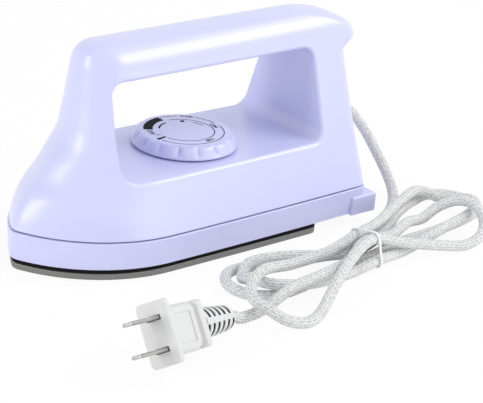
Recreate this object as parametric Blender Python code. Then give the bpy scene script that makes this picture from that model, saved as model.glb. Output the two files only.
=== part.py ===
"""Mini craft iron: lilac moulded body with a looped handle, a thermostat dial, a pointed
soleplate, and a braided mains lead gathered in a tied hank that ends in a two-blade plug.

The nose points along -X, the heel along +X, +Z is up and Z = 0 is the sole's pressing face.
The origin lies under the middle of the body's length. All sizes are in metres.
"""
import math

import bmesh
import bpy
import numpy as np
from mathutils import Euler, Matrix, Vector

# Fits and allowances
FIT_GAP = 0.0003
RUNNING_GAP = 0.0006
CUT_OVERRUN = 0.003
NOSE_INSET_SHARE = 1.35
REAR_CORNER_SHARE = 0.8
QUARTER_TURN_Y = (0.0, math.pi / 2, 0.0)
QUARTER_TURN_X = (math.pi / 2, 0.0, 0.0)

# Whole body
BODY_LENGTH = 0.176
BODY_WIDTH = 0.077
NOSE_X = -BODY_LENGTH / 2
HEEL_X = BODY_LENGTH / 2

# Soleplate
SOLE_THICKNESS = 0.0032
SOLE_SETBACK = 0.0018
SOLE_LENGTH_SHARE = 0.7994
SOLE_SIDE_STEP = 0.0009
SOLE_HEEL_NARROWING = 0.0016
SOLE_NOSE_SHARE = 0.3097
SOLE_TIP_RADIUS = 0.006
SOLE_CORNER_RADIUS = 0.003
SOLE_CHAMFER = 0.0006

# Insulating gasket between the soleplate and the skirt
GASKET_THICKNESS = 0.0011
GASKET_BAND = 0.0095

# Skirt, the lower half of the casing
SKIRT_HEIGHT = 0.01245
SKIRT_TAPER = 0.0024
SKIRT_HEEL_NARROWING = 0.0042
SKIRT_NOSE_SHARE = 0.321
SKIRT_TIP_RADIUS = 0.0068
SKIRT_CORNER_RADIUS = 0.005
SKIRT_FLARE = 0.0008
SKIRT_REAR_SETBACK = 0.0052
SKIRT_WALL = 0.0024
SKIRT_FLOOR = 0.0022
WINDOW_INSET = 0.0115
WINDOW_REAR_INSET = 0.010
HEEL_FOOT_LENGTH = 0.0148
HEEL_FOOT_WIDTH = 0.009
HEEL_FOOT_HEIGHT = 0.009
HEEL_FOOT_DROP = 0.0005
HEEL_FOOT_PROUD = 0.0008
HEEL_FOOT_BEVEL = 0.0009
HEEL_PAD_THICKNESS = 0.0012
HEEL_PAD_MARGIN = 0.0014
HEEL_PAD_PROUD = 0.0004

# Seam between the skirt and the upper housing
SEAM_GAP = 0.0005

# Upper housing with its handle
HOUSING_HEIGHT = 0.07725
HOUSING_SIDE_STEP = 0.0005
HOUSING_NARROWING = 0.0021
FRONT_RAKE_SHARE = 0.2273
REAR_RAKE_SHARE = 0.1705
REAR_CORNER_RADIUS = 0.008
HOUSING_WALL = 0.0024
FRONT_WALL_SHARE = 1.5
DECK_THICKNESS = 0.0026
NOSE_PROFILE_SHARES = (
    (0.0, 0.02), (0.105, 0.08), (0.196, 0.19), (0.254, 0.30), (0.359, 0.45), (0.474, 0.61),
    (0.597, 0.668), (0.81, 0.713), (0.929, 0.748), (0.968, 0.80), (0.99, 0.878), (1.0, 1.0),
)
WIDTH_PROFILE_SHARES = (
    (0.0, 1.0), (0.30, 0.784), (0.474, 0.668), (0.817, 0.442), (0.88, 0.405), (0.929, 0.347),
    (0.968, 0.263), (0.99, 0.179), (1.0, 0.084),
)
REAR_PROFILE_SHARES = (
    (0.0, 0.127), (0.38, 0.19), (0.765, 0.233), (0.80, 0.113), (0.828, 0.013), (0.845, 0.0),
    (0.88, 0.027), (0.929, 0.173), (0.95, 0.30), (0.968, 0.45), (0.98, 0.60), (0.99, 0.783),
    (1.0, 1.0),
)
NOSE_FULLNESS_SHARES = ((0.0, 1.45), (0.3, 1.3), (0.6, 1.08), (1.0, 1.06))
NOSE_TIP_SHARES = ((0.0, 0.17), (0.3, 0.3), (0.6, 0.5), (1.0, 0.5))
HOUSING_LEVEL_SHARES = (
    0.0, 0.03, 0.07, 0.11, 0.15, 0.2, 0.25, 0.3, 0.36, 0.42, 0.48, 0.54, 0.6, 0.66, 0.72, 0.765,
    0.785, 0.80, 0.815, 0.828, 0.845, 0.865, 0.885, 0.905, 0.929, 0.95, 0.968, 0.98, 0.99, 1.0,
)

# Hand opening under the handle
OPENING_FRONT_SHARE = 0.2131
OPENING_LENGTH_SHARE = 0.6222
DECK_RISE_SHARE = 0.2932
OPENING_HEIGHT_SHARE = 0.5243
OPENING_CORNER = 0.0055
OPENING_ROLL = 0.0018
OPENING_STEPS = 12

# Cavity in the rear post for the lead
POST_HOLLOW_FRONT_WALL = 0.004
POST_HOLLOW_REAR_WALL = 0.0034
POST_HOLLOW_WIDTH = 0.017
POST_HOLLOW_SHARE = 0.3819

# Thermostat dial
DIAL_OFFSET = 0.0017
DIAL_RADIUS = 0.0235
DIAL_HEIGHT = 0.0055
DIAL_RIM_HEIGHT = 0.0009
DIAL_SLOPE = 0.0036
DIAL_SIDE_SHARES = (
    (0.08, 0.14, 0.6), (0.22, 0.4, 1.0), (0.42, 0.68, 1.0), (0.7, 0.9, 0.6), (1.0, 1.0, 0.0),
)
DIAL_LOBES = 16
DIAL_LOBE_DEPTH = 0.0009
DIAL_HOLLOW_DEPTH = 0.003
DIAL_WALL = 0.0022
DIAL_HUB_RADIUS = 0.005
SHAFT_RADIUS = 0.003
SHAFT_FLAT_DEPTH = 0.0008
SHAFT_SOCKET_DEPTH = 0.0038
CLIP_RADIUS = 0.0058
CLIP_THICKNESS = 0.0008
CLIP_GROOVE_DEPTH = 0.0007
CLIP_DROP = 0.0006

# Thermostat on the soleplate
THERMOSTAT_BOSS_RADIUS = 0.0085
THERMOSTAT_BOSS_HEIGHT = 0.0036
THERMOSTAT_BASE_RADIUS = 0.007
THERMOSTAT_BASE_HEIGHT = 0.0075
THERMOSTAT_PLATE_LENGTH = 0.026
THERMOSTAT_PLATE_WIDTH = 0.011
THERMOSTAT_PLATE_THICKNESS = 0.001
THERMOSTAT_SCREW_RADIUS = 0.0038
THERMOSTAT_SCREW_HEIGHT = 0.005
BIMETAL_LENGTH = 0.022
BIMETAL_WIDTH = 0.007
BIMETAL_THICKNESS = 0.0008
CONTACT_LENGTH = 0.012
CONTACT_RADIUS = 0.0017

# Tubular heating element
ELEMENT_DIAMETER = 0.0064
ELEMENT_INSET = 0.0175
ELEMENT_TERMINAL_SHARE = 0.2216
ELEMENT_TERMINAL_HEIGHT = 0.0155
ELEMENT_BEND = 0.0085
ELEMENT_PIN_RADIUS = 0.0012
ELEMENT_PIN_HEIGHT = 0.0075

# Heat shield over the element
SHIELD_HEIGHT = 0.0112
SHIELD_THICKNESS = 0.0007
SHIELD_POST_RADIUS = 0.0028
SHIELD_POST_FRONT_SHARE = 0.2557
SHIELD_POST_REAR_SHARE = 0.125
SHIELD_POST_SPREAD_SHARE = 0.273
SHIELD_CLEARANCE = 0.002
SHIELD_REAR_INSET = 0.0235

# Terminal block, fuse and wires
BLOCK_LENGTH = 0.011
BLOCK_WIDTH = 0.02
BLOCK_HEIGHT = 0.009
BLOCK_PLACE_SHARE = 0.3438
BLOCK_SCREW_RADIUS = 0.0017
BLOCK_SCREW_HEAD = 0.0022
BLOCK_SCREW_SPACING = 0.0095
FUSE_RADIUS = 0.002
FUSE_LENGTH = 0.011
FUSE_PLACE_SHARE = 0.1335
WIRE_DIAMETER = 0.002
WIRE_RISE = 0.007
WIRE_STRAIGHT_SHARE = 1.6

# Screws
SCREW_RADIUS = 0.0015
SCREW_HEAD_RADIUS = 0.0027
SCREW_HEAD_HEIGHT = 0.0016
SOLE_SCREW_INSET = 0.0062
SOLE_SCREW_FRONT_SHARE = -0.1477
SOLE_SCREW_REAR_SHARE = 0.2614
HOUSING_SCREW_BACK_SHARE = 0.4034
HOUSING_SCREW_SIDE_SHARE = 0.3117
HOUSING_BOSS_RADIUS = 0.004
HOUSING_SCREW_BITE = 0.009
COUNTERBORE_DEPTH = 0.0019
COUNTERBORE_PAD = 0.002

# Braided lead and its strain relief
LEAD_DIAMETER = 0.0048
BOOT_RISE = 0.008
BOOT_COLLAR_RADIUS = 0.0062
BOOT_COLLAR_LENGTH = 0.0024
BOOT_NECK_RADIUS = 0.0046
BOOT_TIP_RADIUS = 0.0034
BOOT_LENGTH = 0.0155
BOOT_DROOP = math.radians(42.0)
BOOT_RIBS = 6
BOOT_RIB_DEPTH = 0.0007
CLAMP_LENGTH = 0.0155
CLAMP_WIDTH = 0.005
CLAMP_THICKNESS = 0.0026
FLOOR_CLEARANCE = 0.0001
CLAMP_DROP = 0.002
CORE_BEND_SHARE = 1.3

# Hank and tail of the lead, on the surface in front of the iron
HANK_AHEAD = 0.039
HANK_ASIDE = 0.0325
HANK_BEND = 0.0146
HANK_PITCH = 0.0056
HANK_BEND_POINTS = 7
HANK_RUN_SHARES = (0.3, 0.66)
HANK_WAIST_SHARE = 0.12
STRAND_SHARES = (1.5, -0.5, 0.5, -1.5, 1.0, -1.0, 0.0)
HANK_REACHES = (0.0707, 0.0940, 0.065, 0.0855, 0.0827, 0.0700)
HANK_FANS = tuple(math.radians(angle) for angle in (4.3, 18.0, -0.2, 15.5, -18.7, 1.2))
HANK_RANKS = (1, 2, 3, 4, 6, 7)
TAIL_RANK = 5
CORD_STEPS = 8
CORD_MARGIN = 0.0007
CORD_SLOPE_SHARE = 0.42
SETTLING_ROUNDS = 60
LEAD_SPACING_SHARE = 2.2
TAIL_SPACING_SHARE = 1.1
TIE_THICKNESS = 0.0008
TIE_WIDTH = 0.0024
LEAD_ROUTE = (
    (0.0150, 0.0095, 0.767), (0.0200, 0.032, 0.639), (0.0240, 0.070, 0.491),
    (0.0266, 0.130, 0.336), (0.0266, 0.222, 0.202), (0.0232, 0.337, 0.103),
    (0.0165, 0.444, 0.06), (0.0080, 0.537, 0.0), (-0.0015, 0.622, 0.0), (-0.0110, 0.706, 0.0),
)
TAIL_ROUTE = (
    (-0.0165, -0.0088, 0.0), (-0.0280, -0.0138, 0.0), (-0.0440, -0.0188, 0.0),
    (-0.0595, -0.0192, 0.0), (-0.0740, -0.0190, 0.0), (-0.0855, -0.0195, 0.0),
)

# Two-blade plug
PLUG_PLACE = (-0.0965, -0.0213, 0.0060)
PLUG_ROLL = math.radians(-58.0)
PLUG_PITCH = math.radians(11.2)
PLUG_YAW = math.radians(196.0)
PLUG_BOOT_LENGTH = 0.022
PLUG_BOOT_TIP = 0.0104
PLUG_BOOT_ROOT = 0.0136
PLUG_BOOT_RIBS = 5
PLUG_BOOT_GROOVE = 0.0009
PLUG_COLLAR_LENGTH = 0.004
PLUG_COLLAR_WIDTH = 0.0192
PLUG_COLLAR_THICKNESS = 0.014
PLUG_BODY_LENGTH = 0.0178
PLUG_BODY_WIDTH = 0.0196
PLUG_BODY_THICKNESS = 0.012
PLUG_CORNER = 0.0016
PLUG_FLANGE_THICKNESS = 0.003
PLUG_FLANGE_WIDTH = 0.0256
PLUG_FLANGE_HEIGHT = 0.0146
BLADE_SPACING = 0.0127
BLADE_LENGTH = 0.017
BLADE_WIDTH = 0.0063
BLADE_THICKNESS = 0.0015
BLADE_BEVEL = 0.0004
BLADE_HOLE_RADIUS = 0.0016
BLADE_HOLE_DISTANCE = 0.0118


# Shared helpers

def clear_scene():
    """Remove every object, so the script can run in an open file."""
    for item in list(bpy.data.objects):
        bpy.data.objects.remove(item, do_unlink=True)


def material(name, colour, roughness, metallic=0.0):
    """A plain Principled material."""
    made = bpy.data.materials.new(name)
    made.use_nodes = True
    shader = made.node_tree.nodes["Principled BSDF"]
    shader.inputs["Base Color"].default_value = (*colour, 1.0)
    shader.inputs["Roughness"].default_value = roughness
    shader.inputs["Metallic"].default_value = metallic
    made.diffuse_color = (*colour, 1.0)
    return made


def mesh_object(name, points, faces, finish, sharp_angle=35.0):
    """A new object from points and faces, shaded smooth up to a sharp angle."""
    mesh = bpy.data.meshes.new(name)
    mesh.from_pydata([tuple(point) for point in points], [], faces)
    mesh.update()
    mesh.shade_smooth()
    mesh.set_sharp_from_angle(angle=math.radians(sharp_angle))
    made = bpy.data.objects.new(name, mesh)
    bpy.context.scene.collection.objects.link(made)
    if finish is not None:
        made.data.materials.append(finish)
    return made


def loft(name, rings, finish=None):
    """A closed solid through rings of equal count, each counter-clockwise seen from its end."""
    count = len(rings[0])
    points = np.vstack(rings)
    faces = [tuple(reversed(range(count)))]
    for level in range(len(rings) - 1):
        low = level * count
        for step in range(count):
            after = (step + 1) % count
            faces.append((low + step, low + after, low + count + after, low + count + step))
    top = (len(rings) - 1) * count
    faces.append(tuple(range(top, top + count)))
    return mesh_object(name, points, faces, finish)


def flat_ring(outline, height):
    """An outline of X, Y points as a ring at one height."""
    return np.column_stack([outline, np.full(len(outline), height)])


def circle(radius, sides):
    """Points of a circle, counter-clockwise."""
    angles = np.linspace(0.0, 2 * math.pi, sides, endpoint=False)
    return np.column_stack([radius * np.cos(angles), radius * np.sin(angles)])


def turned(name, profile, sides, finish=None):
    """A solid turned about Z through (radius, height) pairs, bottom to top."""
    rings = [flat_ring(circle(radius, sides), height) for radius, height in profile]
    return loft(name, rings, finish)


def block(name, size, centre, finish=None, bevel=0.0):
    """A box with its edges bevelled."""
    half = Vector(size) / 2
    corners = np.array([(-1, -1), (1, -1), (1, 1), (-1, 1)]) * (half.x, half.y)
    made = loft(name, [flat_ring(corners, -half.z), flat_ring(corners, half.z)], finish)
    made.location = centre
    if bevel > 0:
        soften = made.modifiers.new("edges", "BEVEL")
        soften.width = bevel
        soften.segments = 2
    return made


def boolean(target, tool, operation="DIFFERENCE"):
    """Combine a hidden tool body with the target."""
    step = target.modifiers.new(tool.name, "BOOLEAN")
    step.operation = operation
    step.solver = "EXACT"
    step.object = tool
    tool.hide_render = True
    tool.display_type = "WIRE"
    return target


def place(item, location, rotation=(0.0, 0.0, 0.0)):
    """Move and turn an object."""
    item.location = location
    item.rotation_euler = Euler(rotation)
    return item


def interpolate(shares, where):
    """Smooth value from a table of (position, value) shares, without overshoot."""
    table = np.array(shares)
    steps = np.diff(table[:, 0])
    rises = np.diff(table[:, 1]) / steps
    slopes = np.concatenate([rises[:1], (rises[:-1] + rises[1:]) / 2, rises[-1:]])
    turning = np.concatenate([[False], rises[:-1] * rises[1:] <= 0, [False]])
    slopes[turning] = 0.0
    after = np.abs(np.append(rises, rises[-1]))
    before = np.abs(np.insert(rises, 0, rises[0]))
    limit = 3 * np.minimum(after, before)
    slopes = np.sign(slopes) * np.minimum(np.abs(slopes), limit)
    cell = int(np.clip(np.searchsorted(table[:, 0], where) - 1, 0, len(steps) - 1))
    width = steps[cell]
    part = (where - table[cell, 0]) / width
    start = table[cell, 1] * (1 + 2 * part) * (1 - part) ** 2
    end = table[cell + 1, 1] * part ** 2 * (3 - 2 * part)
    lean = slopes[cell] * part * (1 - part) ** 2 + slopes[cell + 1] * part ** 2 * (part - 1)
    return start + end + width * lean


def boat_outline(nose, full, rear, width, heel_width, tip, corner):
    """Pointed-arch outline, counter-clockwise: a rounded tip at the nose, two long arcs that
    reach the half width at full, sides that draw in to the heel, and rounded rear corners."""
    reach = full - nose - tip
    radius = (reach ** 2 / (width - tip) + tip + width) / 2
    centre = np.array([full, width - radius])
    tip_centre = np.array([nose + tip, 0.0])
    toward = (tip_centre - centre) / np.linalg.norm(tip_centre - centre)
    meet = centre + radius * toward
    swing = math.atan2(meet[1], meet[0] - tip_centre[0])
    tip_angles = np.linspace(math.pi, swing, 5)
    arc_angles = np.linspace(math.atan2(toward[1], toward[0]), math.pi / 2, 9)[1:]
    run = np.linspace(0.0, 1.0, 6)[1:]
    turn = np.linspace(math.pi / 2, 0.0, 5)[1:]
    tip_points = tip_centre + tip * np.column_stack([np.cos(tip_angles), np.sin(tip_angles)])
    arc_points = centre + radius * np.column_stack([np.cos(arc_angles), np.sin(arc_angles)])
    side_x = full + (rear - corner - full) * run
    side_points = np.column_stack([side_x, width - (width - heel_width) * run ** 2])
    bend = np.array([rear - corner, heel_width - corner])
    corner_points = bend + corner * np.column_stack([np.cos(turn), np.sin(turn)])
    half = np.vstack([tip_points, arc_points, side_points, corner_points])
    mirrored = half * (1, -1)
    return np.vstack([mirrored, half[:0:-1]])


def tube(name, points, diameter, finish, resolution=2):
    """A round tube along points, with closed ends."""
    curve = bpy.data.curves.new(name, "CURVE")
    curve.dimensions = "3D"
    curve.bevel_depth = diameter / 2
    curve.bevel_resolution = resolution
    curve.use_fill_caps = True
    spline = curve.splines.new("POLY")
    spline.points.add(len(points) - 1)
    for slot, point in zip(spline.points, points):
        slot.co = (*point, 1.0)
    curve.materials.append(finish)
    made = bpy.data.objects.new(name, curve)
    bpy.context.scene.collection.objects.link(made)
    return made


def smooth_route(points, spacing):
    """Points at even spacing on a smooth curve through hand-chosen points."""
    knots = np.array(points, dtype=float)
    chords = np.linalg.norm(np.diff(knots, axis=0), axis=1)
    at = np.concatenate([[0.0], np.cumsum(np.sqrt(chords))])
    tangents = np.gradient(knots, at, axis=0)
    fine = []
    for cell in range(len(knots) - 1):
        width = at[cell + 1] - at[cell]
        for part in np.linspace(0.0, 1.0, 12, endpoint=False):
            start = knots[cell] * (1 + 2 * part) * (1 - part) ** 2
            end = knots[cell + 1] * part ** 2 * (3 - 2 * part)
            lean = tangents[cell] * part * (1 - part) ** 2
            lean = lean + tangents[cell + 1] * part ** 2 * (part - 1)
            fine.append(start + end + width * lean)
    fine.append(knots[-1])
    fine = np.array(fine)
    length = np.concatenate([[0.0], np.cumsum(np.linalg.norm(np.diff(fine, axis=0), axis=1))])
    count = max(2, int(round(length[-1] / spacing)) + 1)
    wanted = np.linspace(0.0, length[-1], count)
    return np.column_stack([np.interp(wanted, length, fine[:, axis]) for axis in range(3)])


# Sizes and heights that follow from the body and the stack of pieces

SKIRT_TOP_WIDTH = BODY_WIDTH
SKIRT_FOOT_WIDTH = SKIRT_TOP_WIDTH - SKIRT_TAPER
SKIRT_NOSE_LENGTH = BODY_LENGTH * SKIRT_NOSE_SHARE
SOLE_LENGTH = BODY_LENGTH * SOLE_LENGTH_SHARE
SOLE_WIDTH = SKIRT_FOOT_WIDTH - 2 * SOLE_SIDE_STEP
SOLE_HEEL_WIDTH = SOLE_WIDTH - SOLE_HEEL_NARROWING
SOLE_NOSE_LENGTH = BODY_LENGTH * SOLE_NOSE_SHARE
HOUSING_HALF_WIDTH = BODY_WIDTH / 2 - HOUSING_SIDE_STEP
FRONT_RAKE = BODY_LENGTH * FRONT_RAKE_SHARE
REAR_RAKE = BODY_LENGTH * REAR_RAKE_SHARE
ELEMENT_TERMINAL_X = BODY_LENGTH * ELEMENT_TERMINAL_SHARE
SHIELD_POST_FRONT = BODY_LENGTH * SHIELD_POST_FRONT_SHARE
SHIELD_POST_REAR = BODY_LENGTH * SHIELD_POST_REAR_SHARE
SHIELD_POST_SPREAD = BODY_WIDTH * SHIELD_POST_SPREAD_SHARE
BLOCK_X = BODY_LENGTH * BLOCK_PLACE_SHARE
FUSE_X = BODY_LENGTH * FUSE_PLACE_SHARE
SOLE_SCREW_FRONT_X = BODY_LENGTH * SOLE_SCREW_FRONT_SHARE
SOLE_SCREW_REAR_X = BODY_LENGTH * SOLE_SCREW_REAR_SHARE
HOUSING_SCREW_X = BODY_LENGTH * HOUSING_SCREW_BACK_SHARE
HOUSING_SCREW_Y = BODY_WIDTH * HOUSING_SCREW_SIDE_SHARE
HANK_X = HEEL_X - HANK_AHEAD
HANK_Y = -BODY_WIDTH / 2 - HANK_ASIDE
GASKET_BASE = SOLE_THICKNESS + FIT_GAP
SKIRT_BASE = GASKET_BASE + GASKET_THICKNESS + FIT_GAP
SKIRT_TOP = SKIRT_BASE + SKIRT_HEIGHT
FLOOR_TOP = SKIRT_BASE + SKIRT_FLOOR
HOUSING_BASE = SKIRT_TOP + SEAM_GAP
DECK_Z = HOUSING_BASE + HOUSING_HEIGHT * DECK_RISE_SHARE
DECK_UNDERSIDE = DECK_Z - DECK_THICKNESS
OPENING_HEIGHT = HOUSING_HEIGHT * OPENING_HEIGHT_SHARE
OPENING_FRONT = BODY_LENGTH * OPENING_FRONT_SHARE
OPENING_LENGTH = BODY_LENGTH * OPENING_LENGTH_SHARE
POST_HOLLOW_TOP = DECK_Z + HOUSING_HEIGHT * POST_HOLLOW_SHARE
BOOT_EXIT_Z = DECK_Z + BOOT_RISE
SOLE_REAR = NOSE_X + SOLE_SETBACK + SOLE_LENGTH
SKIRT_REAR = HEEL_X - SKIRT_REAR_SETBACK
OPENING_FRONT_X = NOSE_X + OPENING_FRONT
OPENING_REAR_X = OPENING_FRONT_X + OPENING_LENGTH
BOSS_TOP = SOLE_THICKNESS + THERMOSTAT_BOSS_HEIGHT
THERMOSTAT_PLATE_Z = BOSS_TOP + FIT_GAP + THERMOSTAT_BASE_HEIGHT + FIT_GAP
THERMOSTAT_TOP = THERMOSTAT_PLATE_Z + THERMOSTAT_PLATE_THICKNESS + FIT_GAP
SHAFT_BASE = THERMOSTAT_TOP + THERMOSTAT_SCREW_HEIGHT + FIT_GAP
DIAL_BASE = DECK_Z + RUNNING_GAP
CLAMP_Z = DECK_Z - CLAMP_DROP
BLOCK_BASE = FLOOR_TOP + FIT_GAP
PAD_TOP = FLOOR_TOP + COUNTERBORE_PAD


# Outlines

def sole_outline(inset=0.0, rear_inset=None):
    """The soleplate's outline, drawn in by an inset."""
    back = inset if rear_inset is None else rear_inset
    nose = NOSE_X + SOLE_SETBACK
    tip = max(SOLE_TIP_RADIUS - inset, SOLE_TIP_RADIUS / 2)
    corner = max(SOLE_CORNER_RADIUS - inset, SOLE_CORNER_RADIUS / 2)
    return boat_outline(
        nose + inset * NOSE_INSET_SHARE, nose + SOLE_NOSE_LENGTH, SOLE_REAR - back,
        SOLE_WIDTH / 2 - inset, SOLE_HEEL_WIDTH / 2 - inset, tip, corner,
    )


def skirt_outline(rise_share, inset=0.0):
    """The skirt's outline at a share of its height, drawn in by an inset."""
    width = SKIRT_FOOT_WIDTH + (SKIRT_TOP_WIDTH - SKIRT_FOOT_WIDTH) * rise_share
    nose = NOSE_X + SKIRT_FLARE * (1 - rise_share)
    return boat_outline(
        nose + inset * NOSE_INSET_SHARE, NOSE_X + SKIRT_NOSE_LENGTH, SKIRT_REAR - inset,
        width / 2 - inset, (width - SKIRT_HEEL_NARROWING) / 2 - inset,
        SKIRT_TIP_RADIUS - inset / 2, SKIRT_CORNER_RADIUS - inset / 2,
    )


def housing_frame(share):
    """Nose, rear, half width, full-width station, tip and corner of the housing at a height."""
    nose = NOSE_X + FRONT_RAKE * interpolate(NOSE_PROFILE_SHARES, share)
    rear = HEEL_X - REAR_RAKE * interpolate(REAR_PROFILE_SHARES, share)
    width = HOUSING_HALF_WIDTH * interpolate(WIDTH_PROFILE_SHARES, share)
    full = nose + width * interpolate(NOSE_FULLNESS_SHARES, share)
    tip = width * interpolate(NOSE_TIP_SHARES, share)
    corner = min(REAR_CORNER_RADIUS, width * REAR_CORNER_SHARE)
    return nose, rear, width, full, tip, corner


def housing_outline(share, inset=0.0):
    """The upper housing's outline at a share of its height, drawn in by an inset."""
    nose, rear, width, full, tip, corner = housing_frame(share)
    heel = width * (1 - HOUSING_NARROWING / HOUSING_HALF_WIDTH)
    return boat_outline(
        nose + inset * FRONT_WALL_SHARE, full, rear - inset, width - inset, heel - inset,
        max(tip - inset, tip / 2), max(corner - inset, corner / 2),
    )


def housing_ring(share, inset=0.0):
    """The upper housing's outline at a share of its height, as a ring in its place."""
    return flat_ring(housing_outline(share, inset), HOUSING_BASE + HOUSING_HEIGHT * share)


def housing_half_width(x, z):
    """Half width of the upper housing at a station and height."""
    outline = housing_outline(np.clip((z - HOUSING_BASE) / HOUSING_HEIGHT, 0.0, 1.0))
    side = outline[(len(outline) + 1) // 2:]
    side = side[np.argsort(side[:, 0])]
    return float(np.interp(x, side[:, 0], side[:, 1]))


# Casing

def screw_hole(name, low, high):
    """Cutter for a screw's shank hole between two heights."""
    radius = SCREW_RADIUS + FIT_GAP
    return turned(name, [(radius, low), (radius, high)], 16)


def make_soleplate(finish):
    """Pressing plate with a chamfered lower edge, a thermostat boss and shield posts."""
    rings = [
        flat_ring(sole_outline(SOLE_CHAMFER), 0.0),
        flat_ring(sole_outline(), SOLE_CHAMFER),
        flat_ring(sole_outline(), SOLE_THICKNESS - SOLE_CHAMFER / 2),
        flat_ring(sole_outline(SOLE_CHAMFER / 2), SOLE_THICKNESS),
    ]
    plate = loft("soleplate", rings, finish)
    half = SOLE_THICKNESS / 2
    ends = [(THERMOSTAT_BOSS_RADIUS, half), (THERMOSTAT_BOSS_RADIUS, BOSS_TOP)]
    boss = place(turned("sole_boss", ends, 32), (DIAL_OFFSET, 0, 0))
    boolean(plate, boss, "UNION")
    for number, (x, y) in enumerate(shield_post_places()):
        ends = [(SHIELD_POST_RADIUS, half), (SHIELD_POST_RADIUS, SHIELD_HEIGHT - FIT_GAP)]
        boolean(plate, place(turned(f"shield_post_{number}", ends, 16), (x, y, 0)), "UNION")
    for number, (x, y) in enumerate(sole_screw_places()):
        hole = screw_hole(f"sole_hole_{number}", half - FIT_GAP, SOLE_THICKNESS + CUT_OVERRUN)
        boolean(plate, place(hole, (x, y, 0)))
    return plate


def shield_post_places():
    """One post near the nose and two at the heel end, under the shield."""
    half = SHIELD_POST_SPREAD / 2
    return [(-SHIELD_POST_FRONT, 0.0), (SHIELD_POST_REAR, -half), (SHIELD_POST_REAR, half)]


def sole_screw_places():
    """Two pairs of screws that hold the skirt and gasket down on the soleplate."""
    side = SOLE_WIDTH / 2 - SOLE_SCREW_INSET
    stations = (SOLE_SCREW_FRONT_X, SOLE_SCREW_REAR_X)
    return [(x, side * sign) for x in stations for sign in (-1, 1)]


def make_gasket(finish):
    """Flat heat-insulating ring between soleplate and skirt."""
    levels = (GASKET_BASE, GASKET_BASE + GASKET_THICKNESS)
    ring = loft("sole_gasket", [flat_ring(sole_outline(), level) for level in levels], finish)
    inner = sole_outline(GASKET_BAND)
    low = GASKET_BASE - CUT_OVERRUN
    high = GASKET_BASE + GASKET_THICKNESS + CUT_OVERRUN
    boolean(ring, loft("gasket_window", [flat_ring(inner, low), flat_ring(inner, high)]))
    for number, (x, y) in enumerate(sole_screw_places()):
        boolean(ring, place(screw_hole(f"gasket_hole_{number}", low, high), (x, y, 0)))
    return ring


def make_skirt(finish):
    """Lower casing: a shallow tray with a window over the soleplate and two heel feet."""
    shares = (0.0, 0.5, 1.0)
    rings = [flat_ring(skirt_outline(share), SKIRT_BASE + SKIRT_HEIGHT * share) for share in shares]
    skirt = loft("lower_skirt", rings, finish)
    for side, sign in (("right", -1), ("left", 1)):
        size = (HEEL_FOOT_LENGTH, HEEL_FOOT_WIDTH, HEEL_FOOT_HEIGHT)
        centre = heel_foot_centre(sign)
        foot = block(f"heel_foot_{side}", size, centre, bevel=HEEL_FOOT_BEVEL)
        boolean(skirt, foot, "UNION")
        thick, wide, high = heel_pad_size()
        size = (2 * (thick + FIT_GAP), wide + 2 * FIT_GAP, high + 2 * FIT_GAP)
        boolean(skirt, block(f"heel_pocket_{side}", size, (HEEL_X, centre[1], centre[2])))
    high = SKIRT_TOP + CUT_OVERRUN
    hollow = [
        flat_ring(skirt_outline(0.0, SKIRT_WALL), FLOOR_TOP),
        flat_ring(skirt_outline(1.0, SKIRT_WALL), high),
    ]
    boolean(skirt, loft("skirt_hollow", hollow))
    for number, sign in enumerate((-1, 1)):
        radius = SCREW_HEAD_RADIUS * 2
        ends = [(radius, FLOOR_TOP - SKIRT_FLOOR / 2), (radius, PAD_TOP)]
        pad = turned(f"screw_pad_{number}", ends, 24)
        boolean(skirt, place(pad, (HOUSING_SCREW_X, sign * HOUSING_SCREW_Y, 0)), "UNION")
    window = sole_outline(WINDOW_INSET, WINDOW_REAR_INSET)
    low = SKIRT_BASE - CUT_OVERRUN
    boolean(skirt, loft("skirt_window", [flat_ring(window, low), flat_ring(window, high)]))
    for number, (x, y) in enumerate(sole_screw_places()):
        boolean(skirt, place(screw_hole(f"skirt_hole_{number}", low, high), (x, y, 0)))
    for number, sign in enumerate((-1, 1)):
        step = SKIRT_BASE + COUNTERBORE_DEPTH
        profile = [
            (SCREW_HEAD_RADIUS + FIT_GAP, low), (SCREW_HEAD_RADIUS + FIT_GAP, step),
            (SCREW_RADIUS + FIT_GAP, step), (SCREW_RADIUS + FIT_GAP, high),
        ]
        hole = turned(f"counterbore_{number}", profile, 20)
        boolean(skirt, place(hole, (HOUSING_SCREW_X, sign * HOUSING_SCREW_Y, 0)))
    return skirt


def heel_foot_centre(sign):
    """Middle of a heel foot, on the left (1) or right (-1)."""
    side = (SKIRT_TOP_WIDTH - SKIRT_HEEL_NARROWING) / 2 + HEEL_FOOT_PROUD - HEEL_FOOT_WIDTH / 2
    x = HEEL_X - HEEL_PAD_PROUD - HEEL_FOOT_LENGTH / 2
    return x, sign * side, SKIRT_BASE - HEEL_FOOT_DROP + HEEL_FOOT_HEIGHT / 2


def heel_pad_size():
    """Length along X, width and height of a rubber heel pad."""
    width = HEEL_FOOT_WIDTH - 2 * HEEL_PAD_MARGIN
    height = HEEL_FOOT_HEIGHT - 2 * HEEL_PAD_MARGIN
    return HEEL_PAD_THICKNESS, width, height


def make_heel_pads(finish):
    """Rubber pads let into the rear faces of the heel feet, on which the iron stands upright."""
    pads = []
    for side, sign in (("right", -1), ("left", 1)):
        centre = heel_foot_centre(sign)
        x = HEEL_X - HEEL_PAD_THICKNESS / 2
        pads.append(block(f"heel_pad_{side}", heel_pad_size(), (x, centre[1], centre[2]), finish))
    return pads


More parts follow.
